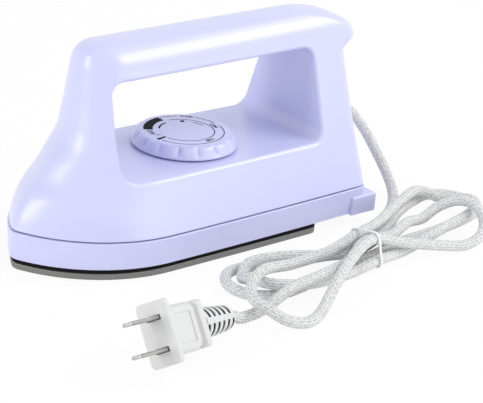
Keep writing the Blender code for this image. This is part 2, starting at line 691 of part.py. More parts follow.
def opening_cutter():
    """Tool for the hand opening: a rounded slot whose rims roll out onto the side walls."""
    top = DECK_Z + OPENING_HEIGHT
    corners = (
        (OPENING_FRONT_X, DECK_Z, 1, 1, math.pi), (OPENING_REAR_X, DECK_Z, -1, 1, 1.5 * math.pi),
        (OPENING_REAR_X, top, -1, -1, 0.0), (OPENING_FRONT_X, top, 1, -1, 0.5 * math.pi),
    )
    slot = []
    for x, z, inward, upward, start in corners:
        centre = np.array([x + inward * OPENING_CORNER, z + upward * OPENING_CORNER])
        angles = np.linspace(start, start + math.pi / 2, 6)
        normals = np.column_stack([np.cos(angles), np.sin(angles)])
        slot.extend((centre + OPENING_CORNER * normal, normal) for normal in normals)
    dense = []
    for (point, normal), (after, _) in zip(slot, slot[1:] + slot[:1]):
        dense.append((point, normal))
        length = np.linalg.norm(after - point)
        extra = int(length / (OPENING_LENGTH / OPENING_STEPS))
        for part in np.linspace(0.0, 1.0, extra + 2)[1:-1]:
            dense.append((point + (after - point) * part, normal))
    rings = []
    rolls = [(math.radians(angle)) for angle in (0, 30, 55, 78)]
    steps = [(OPENING_ROLL * (1 - math.cos(a)), OPENING_ROLL * (1 - math.sin(a))) for a in rolls]
    steps.append((OPENING_ROLL, -CUT_OVERRUN))
    for sign in (-1, 1):
        side = []
        for grow, depth in steps:
            ring = []
            for point, normal in dense:
                x, z = point + normal * grow
                ring.append((x, sign * (housing_half_width(point[0], z) - depth), z))
            side.append(np.array(ring))
        rings.append(side)
    ordered = list(reversed(rings[0])) + rings[1]
    return loft("hand_opening", [ring[::-1] for ring in ordered])


def make_housing(finish):
    """Upper casing: nose, deck, rear post and handle in one moulding, hollow from below."""
    housing = loft("upper_housing", [housing_ring(share) for share in HOUSING_LEVEL_SHARES], finish)
    deck_share = (DECK_UNDERSIDE - HOUSING_BASE) / HOUSING_HEIGHT
    hollow = [flat_ring(housing_outline(0.0, HOUSING_WALL), HOUSING_BASE - CUT_OVERRUN)]
    hollow += [housing_ring(deck_share * step, HOUSING_WALL) for step in (0.35, 0.7, 1.0)]
    boolean(housing, loft("housing_hollow", hollow))
    boolean(housing, opening_cutter())
    radius = HOUSING_BOSS_RADIUS
    boss_top = DECK_UNDERSIDE + DECK_THICKNESS / 2
    for number, sign in enumerate((-1, 1)):
        boss = turned(f"housing_boss_{number}", [(radius, PAD_TOP + FIT_GAP), (radius, boss_top)], 20)
        boolean(housing, place(boss, (HOUSING_SCREW_X, sign * HOUSING_SCREW_Y, 0)), "UNION")
    bite = PAD_TOP + HOUSING_SCREW_BITE + 2 * FIT_GAP
    for number, sign in enumerate((-1, 1)):
        hole = screw_hole(f"boss_hole_{number}", PAD_TOP - CUT_OVERRUN, bite)
        boolean(housing, place(hole, (HOUSING_SCREW_X, sign * HOUSING_SCREW_Y, 0)))
    front = OPENING_REAR_X + POST_HOLLOW_FRONT_WALL
    rear = post_hollow_rear()
    size = (rear - front, POST_HOLLOW_WIDTH, POST_HOLLOW_TOP - DECK_UNDERSIDE + DECK_THICKNESS)
    centre = ((front + rear) / 2, 0, POST_HOLLOW_TOP - size[2] / 2)
    boolean(housing, block("post_hollow", size, centre))
    face = clamp_x() - FIT_GAP - CLAMP_THICKNESS / 2 - front
    root = -POST_HOLLOW_FRONT_WALL / 2
    for number, sign in enumerate((-1, 1)):
        boss = turned(f"clamp_boss_{number}", [(CLAMP_WIDTH / 2, root), (CLAMP_WIDTH / 2, face)], 16)
        boolean(housing, place(boss, (front, sign * clamp_screw_y(), CLAMP_Z), QUARTER_TURN_Y), "UNION")
    for number, sign in enumerate((-1, 1)):
        hole = screw_hole(f"clamp_hole_{number}", root, face + CUT_OVERRUN / 2)
        boolean(housing, place(hole, (front, sign * clamp_screw_y(), CLAMP_Z), QUARTER_TURN_Y))
    radius = SHAFT_RADIUS + FIT_GAP
    ends = [(radius, DECK_UNDERSIDE - CUT_OVERRUN), (radius, DECK_Z + CUT_OVERRUN)]
    boolean(housing, place(turned("shaft_hole", ends, 24), (DIAL_OFFSET, 0, 0)))
    radius = BOOT_NECK_RADIUS + FIT_GAP
    hole = turned("boot_hole", [(radius, -CUT_OVERRUN), (radius, POST_HOLLOW_REAR_WALL * 2)], 24)
    boolean(housing, place(hole, (rear, 0, BOOT_EXIT_Z), QUARTER_TURN_Y))
    return housing


def rear_wall_x(height):
    """Outer face of the rear wall on the centre line."""
    share = (height - HOUSING_BASE) / HOUSING_HEIGHT
    return HEEL_X - REAR_RAKE * interpolate(REAR_PROFILE_SHARES, share)


def post_hollow_rear():
    """Inner face of the rear wall in the rear post."""
    return rear_wall_x(BOOT_EXIT_Z) - POST_HOLLOW_REAR_WALL


# Dial and thermostat

def make_dial(finish):
    """Low knob: a plain round rim, a scalloped side that draws in to a flat face, and a hollow
    underside round its hub."""
    sides = DIAL_LOBES * 6
    wave = 1.0 - np.abs(np.sin(np.arange(sides) * math.pi * DIAL_LOBES / sides))
    radius = DIAL_RADIUS
    profile = [
        (DIAL_HUB_RADIUS, 0.0, 0.0), (DIAL_HUB_RADIUS, DIAL_HOLLOW_DEPTH, 0.0),
        (radius - 2 * DIAL_WALL, DIAL_HOLLOW_DEPTH, 0.0), (radius - DIAL_WALL, 0.0, 0.0),
        (radius - DIAL_RIM_HEIGHT / 3, 0.0, 0.0), (radius, DIAL_RIM_HEIGHT / 3, 0.0),
        (radius, DIAL_RIM_HEIGHT, 0.0),
    ]
    for inward, upward, lobed in DIAL_SIDE_SHARES:
        height = DIAL_RIM_HEIGHT + (DIAL_HEIGHT - DIAL_RIM_HEIGHT) * upward
        profile.append((radius - DIAL_SLOPE * inward, height, lobed))
    profile.append((DIAL_HUB_RADIUS, DIAL_HEIGHT, 0.0))
    angles = np.linspace(0.0, 2 * math.pi, sides, endpoint=False)
    rings = []
    for reach, height, lobed in profile:
        ring_radius = reach - DIAL_LOBE_DEPTH * wave * lobed
        ring = np.column_stack([ring_radius * np.cos(angles), ring_radius * np.sin(angles)])
        rings.append(flat_ring(ring, height))
    knob = place(loft("dial_knob", rings, finish), (DIAL_OFFSET, 0, DIAL_BASE))
    ends = [(SHAFT_RADIUS + FIT_GAP, -CUT_OVERRUN), (SHAFT_RADIUS + FIT_GAP, SHAFT_SOCKET_DEPTH)]
    return boolean(knob, place(turned("dial_socket", ends, 24), (DIAL_OFFSET, 0, DIAL_BASE)))


def make_shaft(finish):
    """Dial shaft with a clip groove, from the thermostat's screw up into the knob."""
    top = DIAL_BASE + SHAFT_SOCKET_DEPTH - FIT_GAP
    clip_top = DECK_UNDERSIDE - CLIP_DROP + FIT_GAP
    clip_low = DECK_UNDERSIDE - CLIP_DROP - CLIP_THICKNESS - FIT_GAP
    groove = SHAFT_RADIUS - CLIP_GROOVE_DEPTH
    profile = [
        (SHAFT_RADIUS, SHAFT_BASE), (SHAFT_RADIUS, clip_low), (groove, clip_low), (groove, clip_top),
        (SHAFT_RADIUS, clip_top), (SHAFT_RADIUS, top),
    ]
    shaft = place(turned("dial_shaft", profile, 24, finish), (DIAL_OFFSET, 0, 0))
    height = DIAL_BASE - DECK_UNDERSIDE
    size = (SHAFT_RADIUS, SHAFT_RADIUS * 3, height * 2)
    flat = block("shaft_flat", size, (DIAL_OFFSET + SHAFT_RADIUS * 1.5 - SHAFT_FLAT_DEPTH, 0, top))
    return boolean(shaft, flat)


def make_clip(finish):
    """Open spring clip that keeps the shaft from lifting out of the deck."""
    low = DECK_UNDERSIDE - CLIP_DROP - CLIP_THICKNESS
    ring = turned("dial_clip", [(CLIP_RADIUS, low), (CLIP_RADIUS, low + CLIP_THICKNESS)], 32, finish)
    place(ring, (DIAL_OFFSET, 0, 0))
    inner = SHAFT_RADIUS - CLIP_GROOVE_DEPTH + FIT_GAP
    hole = turned("clip_hole", [(inner, low - CUT_OVERRUN), (inner, DECK_UNDERSIDE)], 24)
    boolean(ring, place(hole, (DIAL_OFFSET, 0, 0)))
    size = (CLIP_RADIUS * 2, inner * 1.6, CLIP_THICKNESS * 3)
    return boolean(ring, block("clip_mouth", size, (DIAL_OFFSET - CLIP_RADIUS, 0, low)))


def make_thermostat(ceramic, steel, brass):
    """Ceramic foot on the soleplate boss, a carrier plate, an adjusting bush, a bimetal strip
    and the contact spring beside it."""
    low = BOSS_TOP + FIT_GAP
    radius = THERMOSTAT_BASE_RADIUS
    waist = THERMOSTAT_BASE_HEIGHT / 3
    profile = [
        (radius, low), (radius, low + waist), (radius * 0.8, low + waist),
        (radius * 0.8, low + 2 * waist), (radius, low + 2 * waist),
        (radius, low + THERMOSTAT_BASE_HEIGHT),
    ]
    place(turned("thermostat_foot", profile, 32, ceramic), (DIAL_OFFSET, 0, 0))
    size = (THERMOSTAT_PLATE_LENGTH, THERMOSTAT_PLATE_WIDTH, THERMOSTAT_PLATE_THICKNESS)
    block("thermostat_plate", size, (DIAL_OFFSET, 0, THERMOSTAT_PLATE_Z + size[2] / 2), steel)
    bush = THERMOSTAT_SCREW_RADIUS
    top = THERMOSTAT_TOP + THERMOSTAT_SCREW_HEIGHT
    neck = THERMOSTAT_TOP + waist
    profile = [(bush, THERMOSTAT_TOP), (bush, neck), (bush * 0.8, neck), (bush * 0.8, top)]
    place(turned("thermostat_bush", profile, 6, brass), (DIAL_OFFSET, 0, 0))
    start = DIAL_OFFSET - bush - RUNNING_GAP * 2
    size = (BIMETAL_LENGTH, BIMETAL_WIDTH, BIMETAL_THICKNESS)
    centre = (start - BIMETAL_LENGTH / 2, 0, THERMOSTAT_TOP + BIMETAL_THICKNESS / 2)
    block("thermostat_bimetal", size, centre, steel)
    start = DIAL_OFFSET + bush + RUNNING_GAP * 2
    size = (CONTACT_LENGTH, BIMETAL_WIDTH, BIMETAL_THICKNESS)
    centre = (start + CONTACT_LENGTH / 2, 0, THERMOSTAT_TOP + BIMETAL_THICKNESS / 2)
    spring = block("contact_spring", size, centre, brass)
    low = THERMOSTAT_TOP + BIMETAL_THICKNESS / 2
    ends = [(CONTACT_RADIUS, low), (CONTACT_RADIUS, low + BIMETAL_THICKNESS * 1.5)]
    rivet = place(turned("contact_rivet", ends, 16), (start + CONTACT_RADIUS * 1.5, 0, 0))
    boolean(spring, rivet, "UNION")


# Heating and wiring

def element_route():
    """Route of the heating tube: up at the heel, along both sides and round the nose."""
    outline = sole_outline(ELEMENT_INSET, 0.0)
    half = outline[len(outline) // 2 + 1:]
    low = SOLE_THICKNESS + FIT_GAP + ELEMENT_DIAMETER / 2
    half = half[half[:, 0] < ELEMENT_TERMINAL_X - ELEMENT_BEND]
    side = np.column_stack([half[::-1], np.full(len(half), low)])
    nose = np.array([[outline[0, 0], 0.0, low]])
    y = side[-1, 1]
    angles = np.linspace(0.0, math.pi / 2, 6)
    bend = np.column_stack([
        ELEMENT_TERMINAL_X - ELEMENT_BEND + ELEMENT_BEND * np.sin(angles), np.full(6, y),
        low + ELEMENT_BEND * (1 - np.cos(angles)),
    ])
    rise = np.array([[ELEMENT_TERMINAL_X, y, ELEMENT_TERMINAL_HEIGHT]])
    arm = np.vstack([side, bend, rise])
    other = (arm * (1, -1, 1))[::-1]
    return np.vstack([other, nose, arm])


def make_element(finish, brass):
    """Bent tubular heating element and its two terminal pins."""
    route = element_route()
    tube("heating_element", route, ELEMENT_DIAMETER, finish, 3)
    low = ELEMENT_TERMINAL_HEIGHT + FIT_GAP
    ends = [(ELEMENT_PIN_RADIUS, low), (ELEMENT_PIN_RADIUS, low + ELEMENT_PIN_HEIGHT)]
    for side, end in (("right", route[0]), ("left", route[-1])):
        place(turned(f"element_pin_{side}", ends, 12, brass), (end[0], end[1], 0))
    return route


def make_shield(finish):
    """Thin steel plate over the element, open round the thermostat."""
    outline = sole_outline(WINDOW_INSET + SHIELD_CLEARANCE, SHIELD_REAR_INSET)
    top = SHIELD_HEIGHT + SHIELD_THICKNESS
    shield = loft("heat_shield", [flat_ring(outline, SHIELD_HEIGHT), flat_ring(outline, top)], finish)
    radius = THERMOSTAT_BOSS_RADIUS + SHIELD_CLEARANCE
    ends = [(radius, SHIELD_HEIGHT - CUT_OVERRUN), (radius, top + CUT_OVERRUN)]
    return boolean(shield, place(turned("shield_hole", ends, 32), (DIAL_OFFSET, 0, 0)))


def make_wiring(ceramic, brass, live, neutral, sleeve):
    """Terminal block with its screws, the thermal fuse on the shield and the wires."""
    size = (BLOCK_LENGTH, BLOCK_WIDTH, BLOCK_HEIGHT)
    top = BLOCK_BASE + BLOCK_HEIGHT
    body = block("terminal_block", size, (BLOCK_X, 0, BLOCK_BASE + BLOCK_HEIGHT / 2), ceramic)
    for side, sign in (("neutral", -1), ("live", 1)):
        y = sign * BLOCK_SCREW_SPACING / 2
        radius = BLOCK_SCREW_HEAD + FIT_GAP
        middle = top - BLOCK_HEIGHT / 2
        well = turned(f"block_well_{side}", [(radius, middle), (radius, top + CUT_OVERRUN)], 16)
        boolean(body, place(well, (BLOCK_X, y, 0)))
        low = middle + FIT_GAP
        step = low + BLOCK_HEIGHT / 4
        screw = [
            (BLOCK_SCREW_RADIUS, low), (BLOCK_SCREW_RADIUS, step),
            (BLOCK_SCREW_HEAD, step), (BLOCK_SCREW_HEAD, top - FIT_GAP),
        ]
        place(turned(f"block_screw_{side}", screw, 16, brass), (BLOCK_X, y, 0))
    fuse_z = SHIELD_HEIGHT + SHIELD_THICKNESS + FIT_GAP + FUSE_RADIUS
    half = FUSE_LENGTH / 2
    profile = [
        (FUSE_RADIUS * 0.7, -half), (FUSE_RADIUS, -half * 0.8), (FUSE_RADIUS, half * 0.8),
        (FUSE_RADIUS * 0.7, half),
    ]
    place(turned("thermal_fuse", profile, 16, sleeve), (FUSE_X, 0, fuse_z), QUARTER_TURN_X)
    route = element_route()
    pin_x, pin_y = route[-1, 0], route[-1, 1]
    pin_gap = ELEMENT_PIN_RADIUS + FIT_GAP
    pin_z = ELEMENT_TERMINAL_HEIGHT + ELEMENT_PIN_HEIGHT * 0.7
    face = BLOCK_X - BLOCK_LENGTH / 2 - FIT_GAP
    wire_z = BLOCK_BASE + BLOCK_HEIGHT * 0.4
    y = BLOCK_SCREW_SPACING / 2
    contact_x = DIAL_OFFSET + THERMOSTAT_SCREW_RADIUS + CONTACT_LENGTH
    contact_z = THERMOSTAT_TOP + BIMETAL_THICKNESS + FIT_GAP + WIRE_DIAMETER / 2
    fuse_end = FUSE_LENGTH / 2 + FIT_GAP
    straight = WIRE_DIAMETER * WIRE_STRAIGHT_SHARE
    live_route = [
        (face, y, wire_z), (face - straight, y, wire_z), (face - 2 * straight, y, wire_z + WIRE_RISE / 3),
        (contact_x + 2 * WIRE_RISE, y / 2, contact_z + WIRE_RISE / 3),
        (contact_x + straight, 0, contact_z), (contact_x - straight, 0, contact_z),
    ]
    neutral_route = [
        (face, -y, wire_z), (face - straight, -y, wire_z),
        (face - WIRE_RISE, -y, (wire_z + pin_z) / 2),
        (pin_x + straight, -pin_y + pin_gap + 2 * straight, pin_z),
        (pin_x, -pin_y + pin_gap + straight, pin_z), (pin_x, -pin_y + pin_gap, pin_z),
    ]
    middle = (pin_x - WIRE_RISE, (pin_y + fuse_end) / 2, (pin_z + fuse_z) / 2 + FUSE_RADIUS)
    fused_route = [
        (pin_x, pin_y - pin_gap, pin_z), (pin_x, pin_y - pin_gap - straight, pin_z), middle,
        (FUSE_X, fuse_end + straight, fuse_z), (FUSE_X, fuse_end, fuse_z),
    ]
    plate_x = DIAL_OFFSET + THERMOSTAT_PLATE_LENGTH / 2 - WIRE_DIAMETER
    plate_y = THERMOSTAT_PLATE_WIDTH / 2 + FIT_GAP
    plate_z = THERMOSTAT_PLATE_Z + THERMOSTAT_PLATE_THICKNESS / 2
    thermostat_route = [
        (FUSE_X, -fuse_end, fuse_z), (FUSE_X, -fuse_end - straight, fuse_z),
        ((FUSE_X + plate_x) / 2, -fuse_end - 2 * straight, (fuse_z + plate_z) / 2),
        (plate_x, -plate_y - straight, plate_z), (plate_x, -plate_y, plate_z),
    ]
    routes = (
        ("wire_live", live, live_route), ("wire_neutral", neutral, neutral_route),
        ("wire_element", live, fused_route), ("wire_thermostat", live, thermostat_route),
    )
    for name, finish, points in routes:
        tube(name, smooth_route(points, WIRE_DIAMETER * 1.5), WIRE_DIAMETER, finish, 1)


# Screws

def make_screws(finish):
    """Screws through the skirt floor, up into the housing, and across the cord clamp."""
    low = SOLE_THICKNESS / 2
    head = FLOOR_TOP + FIT_GAP
    crown = head + SCREW_HEAD_HEIGHT * 0.7
    profile = [(SCREW_RADIUS, low), (SCREW_RADIUS, head), (SCREW_HEAD_RADIUS, head),
               (SCREW_HEAD_RADIUS, crown), (SCREW_RADIUS, head + SCREW_HEAD_HEIGHT)]
    for number, (x, y) in enumerate(sole_screw_places(), 1):
        place(turned(f"sole_screw_{number}", profile, 16, finish), (x, y, 0))
    low = SKIRT_BASE + COUNTERBORE_DEPTH - FIT_GAP - SCREW_HEAD_HEIGHT
    shoulder = low + SCREW_HEAD_HEIGHT
    profile = [(SCREW_HEAD_RADIUS * 0.8, low), (SCREW_HEAD_RADIUS, low + SCREW_HEAD_HEIGHT / 3),
               (SCREW_HEAD_RADIUS, shoulder), (SCREW_RADIUS, shoulder),
               (SCREW_RADIUS, PAD_TOP + FIT_GAP + HOUSING_SCREW_BITE)]
    for side, sign in (("right", -1), ("left", 1)):
        screw = turned(f"housing_screw_{side}", profile, 16, finish)
        place(screw, (HOUSING_SCREW_X, sign * HOUSING_SCREW_Y, 0))
    start = -CLAMP_THICKNESS / 2 - POST_HOLLOW_FRONT_WALL
    shoulder = CLAMP_THICKNESS / 2 + FIT_GAP
    profile = [(SCREW_RADIUS, start), (SCREW_RADIUS, shoulder), (CLAMP_WIDTH / 2, shoulder),
               (CLAMP_WIDTH / 2 * 0.8, shoulder + SCREW_HEAD_HEIGHT)]
    for side, sign in (("right", -1), ("left", 1)):
        screw = turned(f"clamp_screw_{side}", profile, 16, finish)
        place(screw, (clamp_x(), sign * clamp_screw_y(), CLAMP_Z), QUARTER_TURN_Y)


# Strain relief and cores

def boot_path():
    """Centre line of the strain relief: straight through the rear wall, then drooping."""
    start = post_hollow_rear() - FIT_GAP - BOOT_COLLAR_LENGTH
    bend_from = rear_wall_x(BOOT_EXIT_Z)
    radius = BOOT_LENGTH / BOOT_DROOP
    straight = np.linspace(start, bend_from, 4)[:-1]
    angles = np.linspace(0.0, BOOT_DROOP, 2 * BOOT_RIBS + 1)
    line = [np.array([x, 0.0, BOOT_EXIT_Z]) for x in straight]
    for angle in angles:
        drop = radius * (1 - math.cos(angle))
        line.append(np.array([bend_from + radius * math.sin(angle), 0.0, BOOT_EXIT_Z - drop]))
    turns = [0.0] * len(straight) + list(angles)
    return line, turns


def make_boot(finish):
    """Ribbed strain relief: an inner collar, a neck through the wall and a drooping taper."""
    line, turns = boot_path()
    start = line[0]
    rings = []
    sides = circle(1.0, 20)

    def ring(centre, turn, radius):
        across = np.column_stack([np.zeros(len(sides)), sides[:, 0], sides[:, 1]]) * radius
        tilt = np.array(Matrix.Rotation(turn, 3, "Y"))
        rings.append(centre + across @ tilt.T)

    collar_end = start + np.array([BOOT_COLLAR_LENGTH, 0.0, 0.0])
    ring(start, 0.0, BOOT_COLLAR_RADIUS)
    ring(collar_end, 0.0, BOOT_COLLAR_RADIUS)
    ring(collar_end, 0.0, BOOT_NECK_RADIUS)
    ring(np.array([rear_wall_x(BOOT_EXIT_Z), 0.0, BOOT_EXIT_Z]), 0.0, BOOT_NECK_RADIUS)
    bends = [(point, turn) for point, turn in zip(line, turns) if point[0] > rear_wall_x(BOOT_EXIT_Z)]
    for number, (point, turn) in enumerate(bends):
        along = (number + 1) / len(bends)
        radius = BOOT_NECK_RADIUS + (BOOT_TIP_RADIUS - BOOT_NECK_RADIUS) * along
        groove = BOOT_RIB_DEPTH if number % 2 == 0 and number < len(bends) - 1 else 0.0
        ring(point, turn, radius - groove)
    return loft("cord_boot", rings, finish)


def boot_tip():
    """End point and direction of the strain relief."""
    line, turns = boot_path()
    turn = turns[-1]
    return line[-1], np.array([math.cos(turn), 0.0, -math.sin(turn)])


def core_x():
    """Station of the cores in the middle of the rear post."""
    return (OPENING_REAR_X + POST_HOLLOW_FRONT_WALL + post_hollow_rear()) / 2


def clamp_x():
    """Middle of the clamp bar, just behind the cores."""
    return core_x() + WIRE_DIAMETER / 2 + FIT_GAP + CLAMP_THICKNESS / 2


def clamp_screw_y():
    """Distance of each clamp screw from the centre line."""
    return CLAMP_LENGTH / 2 - CLAMP_WIDTH / 2


def make_cores(live, neutral, plastic):
    """Two insulated cores from the strain relief down to the terminal block, and the clamp bar."""
    start = post_hollow_rear() - 2 * FIT_GAP - BOOT_COLLAR_LENGTH
    x = core_x()
    bend = start - x
    drop = BOOT_EXIT_Z - bend * CORE_BEND_SHARE
    rear_face = BLOCK_X + BLOCK_LENGTH / 2 + FIT_GAP
    wire_z = BLOCK_BASE + BLOCK_HEIGHT * 0.4
    straight = WIRE_DIAMETER * WIRE_STRAIGHT_SHARE
    for name, sign, finish in (("core_live", 1, live), ("core_neutral", -1, neutral)):
        y = sign * (WIRE_DIAMETER / 2 + FIT_GAP)
        end_y = sign * BLOCK_SCREW_SPACING / 2
        route = [
            (start, y, BOOT_EXIT_Z), (start - bend * 0.3, y, BOOT_EXIT_Z),
            (x + bend * 0.2, y, BOOT_EXIT_Z - bend * 0.4), (x, y, drop), (x, y, CLAMP_Z),
            (x, y, DECK_UNDERSIDE), (x + straight / 2, (y + end_y) / 2, wire_z + 2 * straight),
            (rear_face + straight, end_y, wire_z), (rear_face, end_y, wire_z),
        ]
        tube(name, smooth_route(route, WIRE_DIAMETER * 0.8), WIRE_DIAMETER, finish, 1)
    size = (CLAMP_THICKNESS, CLAMP_LENGTH, CLAMP_WIDTH)
    bar = block("cord_clamp", size, (clamp_x(), 0, CLAMP_Z), plastic)
    for number, sign in enumerate((-1, 1)):
        ends = [(SCREW_RADIUS + FIT_GAP, -CLAMP_THICKNESS), (SCREW_RADIUS + FIT_GAP, CLAMP_THICKNESS)]
        hole = turned(f"bar_hole_{number}", ends, 16)
        boolean(bar, place(hole, (clamp_x(), sign * clamp_screw_y(), CLAMP_Z), QUARTER_TURN_Y))


# Lead, hank and plug

def smooth_curve(points, steps):
    """Dense points on a smooth curve through knots, and each one's place among the knots."""
    knots = np.array(points, dtype=float)
    chords = np.linalg.norm(np.diff(knots, axis=0), axis=1)
    at = np.concatenate([[0.0], np.cumsum(np.sqrt(chords))])
    tangents = np.gradient(knots, at, axis=0)
    cells = np.repeat(np.arange(len(knots) - 1), steps)
    part = np.tile(np.linspace(0.0, 1.0, steps, endpoint=False), len(knots) - 1)[:, None]
    width = (at[cells + 1] - at[cells])[:, None]
    dense = knots[cells] * (1 + 2 * part) * (1 - part) ** 2
    dense += knots[cells + 1] * part ** 2 * (3 - 2 * part)
    dense += width * tangents[cells] * part * (1 - part) ** 2
    dense += width * tangents[cells + 1] * part ** 2 * (part - 1)
    places = np.append(cells + part[:, 0], len(knots) - 1)
    return np.vstack([dense, knots[-1]]), places


def hank_turn(side, reach, fan, offset_out, offset_back):
    """Plan points of one end turn of the hank, from the waist round its bend and back."""
    along = np.array([side * math.cos(fan), math.sin(fan)])
    out = np.array([math.sin(fan), -side * math.cos(fan)])
    centre = reach - HANK_BEND
    lean = math.asin(HANK_BEND / centre)
    angles = np.linspace(math.pi / 2 + lean, -math.pi / 2 - lean, HANK_BEND_POINTS)
    bend = [along * (centre + HANK_BEND * math.cos(a)) + out * HANK_BEND * math.sin(a) for a in angles]

    def run(share, offset, side_width):
        part = (share - HANK_WAIST_SHARE) / (1 - HANK_WAIST_SHARE)
        ease = part * part * (3 - 2 * part)
        return along * centre * share + out * (offset + (side_width - offset) * ease)

    leave = [run(share, -side * offset_out, HANK_BEND) for share in HANK_RUN_SHARES]
    back = [run(share, -side * offset_back, -HANK_BEND) for share in HANK_RUN_SHARES]
    return leave + bend + back[::-1]


def cord_knots():
    """Knots of the whole lead, with the rank in which each is laid and where the hank lies."""
    waist = np.array([HANK_X, HANK_Y])
    tip, heading = boot_tip()
    start = tip + heading * FIT_GAP
    knots = [start, start + heading * LEAD_DIAMETER]
    low = LEAD_DIAMETER / 2 + FLOOR_CLEARANCE
    for beyond, aside, height in LEAD_ROUTE:
        knots.append(np.array([HEEL_X + beyond, HANK_Y * aside, max(low, BOOT_EXIT_Z * height)]))
    ranks = [0] * len(knots)
    hank_from = len(knots) - 1
    for number, (reach, fan, rank) in enumerate(zip(HANK_REACHES, HANK_FANS, HANK_RANKS)):
        side = -1 if number % 2 == 0 else 1
        offsets = HANK_PITCH * STRAND_SHARES[number], HANK_PITCH * STRAND_SHARES[number + 1]
        turn = [np.array([0.0, offsets[0]])] + hank_turn(side, reach, fan, *offsets)
        knots += [np.array([*(waist + point), low]) for point in turn]
        ranks += [rank] * len(turn)
    knots.append(np.array([HANK_X, HANK_Y + HANK_PITCH * STRAND_SHARES[-1], low]))
    hank_to = len(knots)
    middle = np.array([*waist, low])
    knots += [middle + point for point in TAIL_ROUTE]
    matrix = plug_matrix()
    plug_start = np.array(matrix.translation)
    heading = np.array(matrix.col[0].to_3d())
    knots.append(plug_start - heading * (FIT_GAP + LEAD_DIAMETER))
    knots.append(plug_start - heading * FIT_GAP)
    ranks += [TAIL_RANK] * (len(knots) - len(ranks))
    return np.array(knots), np.array(ranks), hank_from, hank_to


def settled_cord():
    """The lead's knots, each stretch raised to lie on what was laid before it.

    A stretch needs a height of z + sqrt(clear^2 - distance^2) over a stretch laid earlier.
    What it lacks is added at the knots beside it, and spread to the next ones at a steady
    slope, round by round, until every crossing is cleared.
    """
    knots, ranks, hank_from, hank_to = cord_knots()
    cells, share, fine = between(knots)
    rank = ranks[cells]
    run = np.concatenate([[0.0], np.cumsum(np.linalg.norm(np.diff(fine, axis=0), axis=1))])
    away = np.linalg.norm(fine[:, None, :2] - fine[None, :, :2], axis=2)
    apart = np.abs(run[:, None] - run[None, :])
    clear = LEAD_DIAMETER + CORD_MARGIN
    over = (rank[:, None] > rank[None, :]) & (away < clear) & (apart > 3 * clear)
    rise = np.sqrt(np.maximum(clear ** 2 - away ** 2, 0.0))
    legs = np.concatenate([[0.0], np.cumsum(np.linalg.norm(np.diff(knots, axis=0), axis=1))])
    slope = CORD_SLOPE_SHARE * np.abs(legs[:, None] - legs[None, :])
    held = np.abs(knots[:, 0] - HANK_X) < TIE_WIDTH
    held[:hank_from] = False
    base = knots[:, 2] + np.where(held, TIE_THICKNESS + FIT_GAP, 0.0)
    lift = np.zeros(len(knots))
    for _ in range(SETTLING_ROUNDS):
        height = base + lift
        level = height[cells] * (1 - share) + height[cells + 1] * share
        lack = np.where(over, level[None, :] + rise, 0.0).max(axis=1) - level
        need = np.zeros(len(knots))
        np.maximum.at(need, cells, np.where(share < 0.65, lack, 0.0))
        np.maximum.at(need, cells + 1, np.where(share > 0.35, lack, 0.0))
        lift = ((lift + need)[None, :] - slope).max(axis=1)
    knots[:, 2] = base + lift
    return knots, hank_from, hank_to


def between(knots):
    """Points along the straight runs between knots, with each one's run and share of it."""
    lengths = np.linalg.norm(np.diff(knots, axis=0), axis=1)
    counts = np.ceil(lengths / (LEAD_DIAMETER / 4)).astype(int)
    cells = np.repeat(np.arange(len(lengths)), counts)
    share = np.concatenate([np.linspace(0.0, 1.0, count, endpoint=False) for count in counts])
    fine = knots[cells] * (1 - share)[:, None] + knots[cells + 1] * share[:, None]
    return cells, share, fine


def least_gap(points):
    """Least gap of a cord along points to itself, away from the stretch beside each point."""
    fine = between(points)[2]
    run = np.concatenate([[0.0], np.cumsum(np.linalg.norm(np.diff(fine, axis=0), axis=1))])
    away = np.linalg.norm(fine[:, None] - fine[None, :], axis=2)
    away[np.abs(run[:, None] - run[None, :]) < 3 * LEAD_DIAMETER] = BODY_LENGTH
    return away.min() - LEAD_DIAMETER


def make_cord(finish, tie_finish):
    """Free lead from the strain relief, the tied hank, and the tail to the plug."""
    knots, hank_from, hank_to = settled_cord()
    dense, places = smooth_curve(knots, CORD_STEPS)
    dense[:, 2] = np.maximum(dense[:, 2], LEAD_DIAMETER / 2 + FLOOR_CLEARANCE)
    lead_line = dense[(places >= 1) & (places <= hank_from)]
    tail_line = dense[(places >= hank_to) & (places <= len(knots) - 2)]
    lead = spaced(lead_line, LEAD_DIAMETER * LEAD_SPACING_SHARE)
    tail = spaced(tail_line, LEAD_DIAMETER * TAIL_SPACING_SHARE)
    lead, hank_start = joint_ends(np.vstack([knots[:1], lead]), knots[hank_from + 1])
    tail, hank_end = joint_ends(np.vstack([knots[-1:], tail[::-1]]), knots[hank_to - 1])
    hank = np.vstack([hank_start, knots[hank_from + 1:hank_to], hank_end[::-1]])
    tube("cord_lead", lead, LEAD_DIAMETER, finish, 2)
    tube("cord_hank", hank, LEAD_DIAMETER, finish, 1)
    tube("cord_tail", tail[::-1], LEAD_DIAMETER, finish, 2)
    whole = np.vstack([lead, hank, tail[::-1]])
    length = np.linalg.norm(np.diff(whole, axis=0), axis=1).sum()
    print(f"cord length {length:.3f} m, least gap to itself {least_gap(whole):.5f} m")
    fine = between(hank)[2]
    make_tie(fine[np.abs(fine[:, 0] - HANK_X) < TIE_WIDTH], tie_finish)


def spaced(dense, spacing):
    """Evenly spaced points along a dense line."""
    length = np.concatenate([[0.0], np.cumsum(np.linalg.norm(np.diff(dense, axis=0), axis=1))])
    count = max(3, int(round(length[-1] / spacing)) + 1)
    wanted = np.linspace(0.0, length[-1], count)
    return np.column_stack([np.interp(wanted, length, dense[:, axis]) for axis in range(3)])


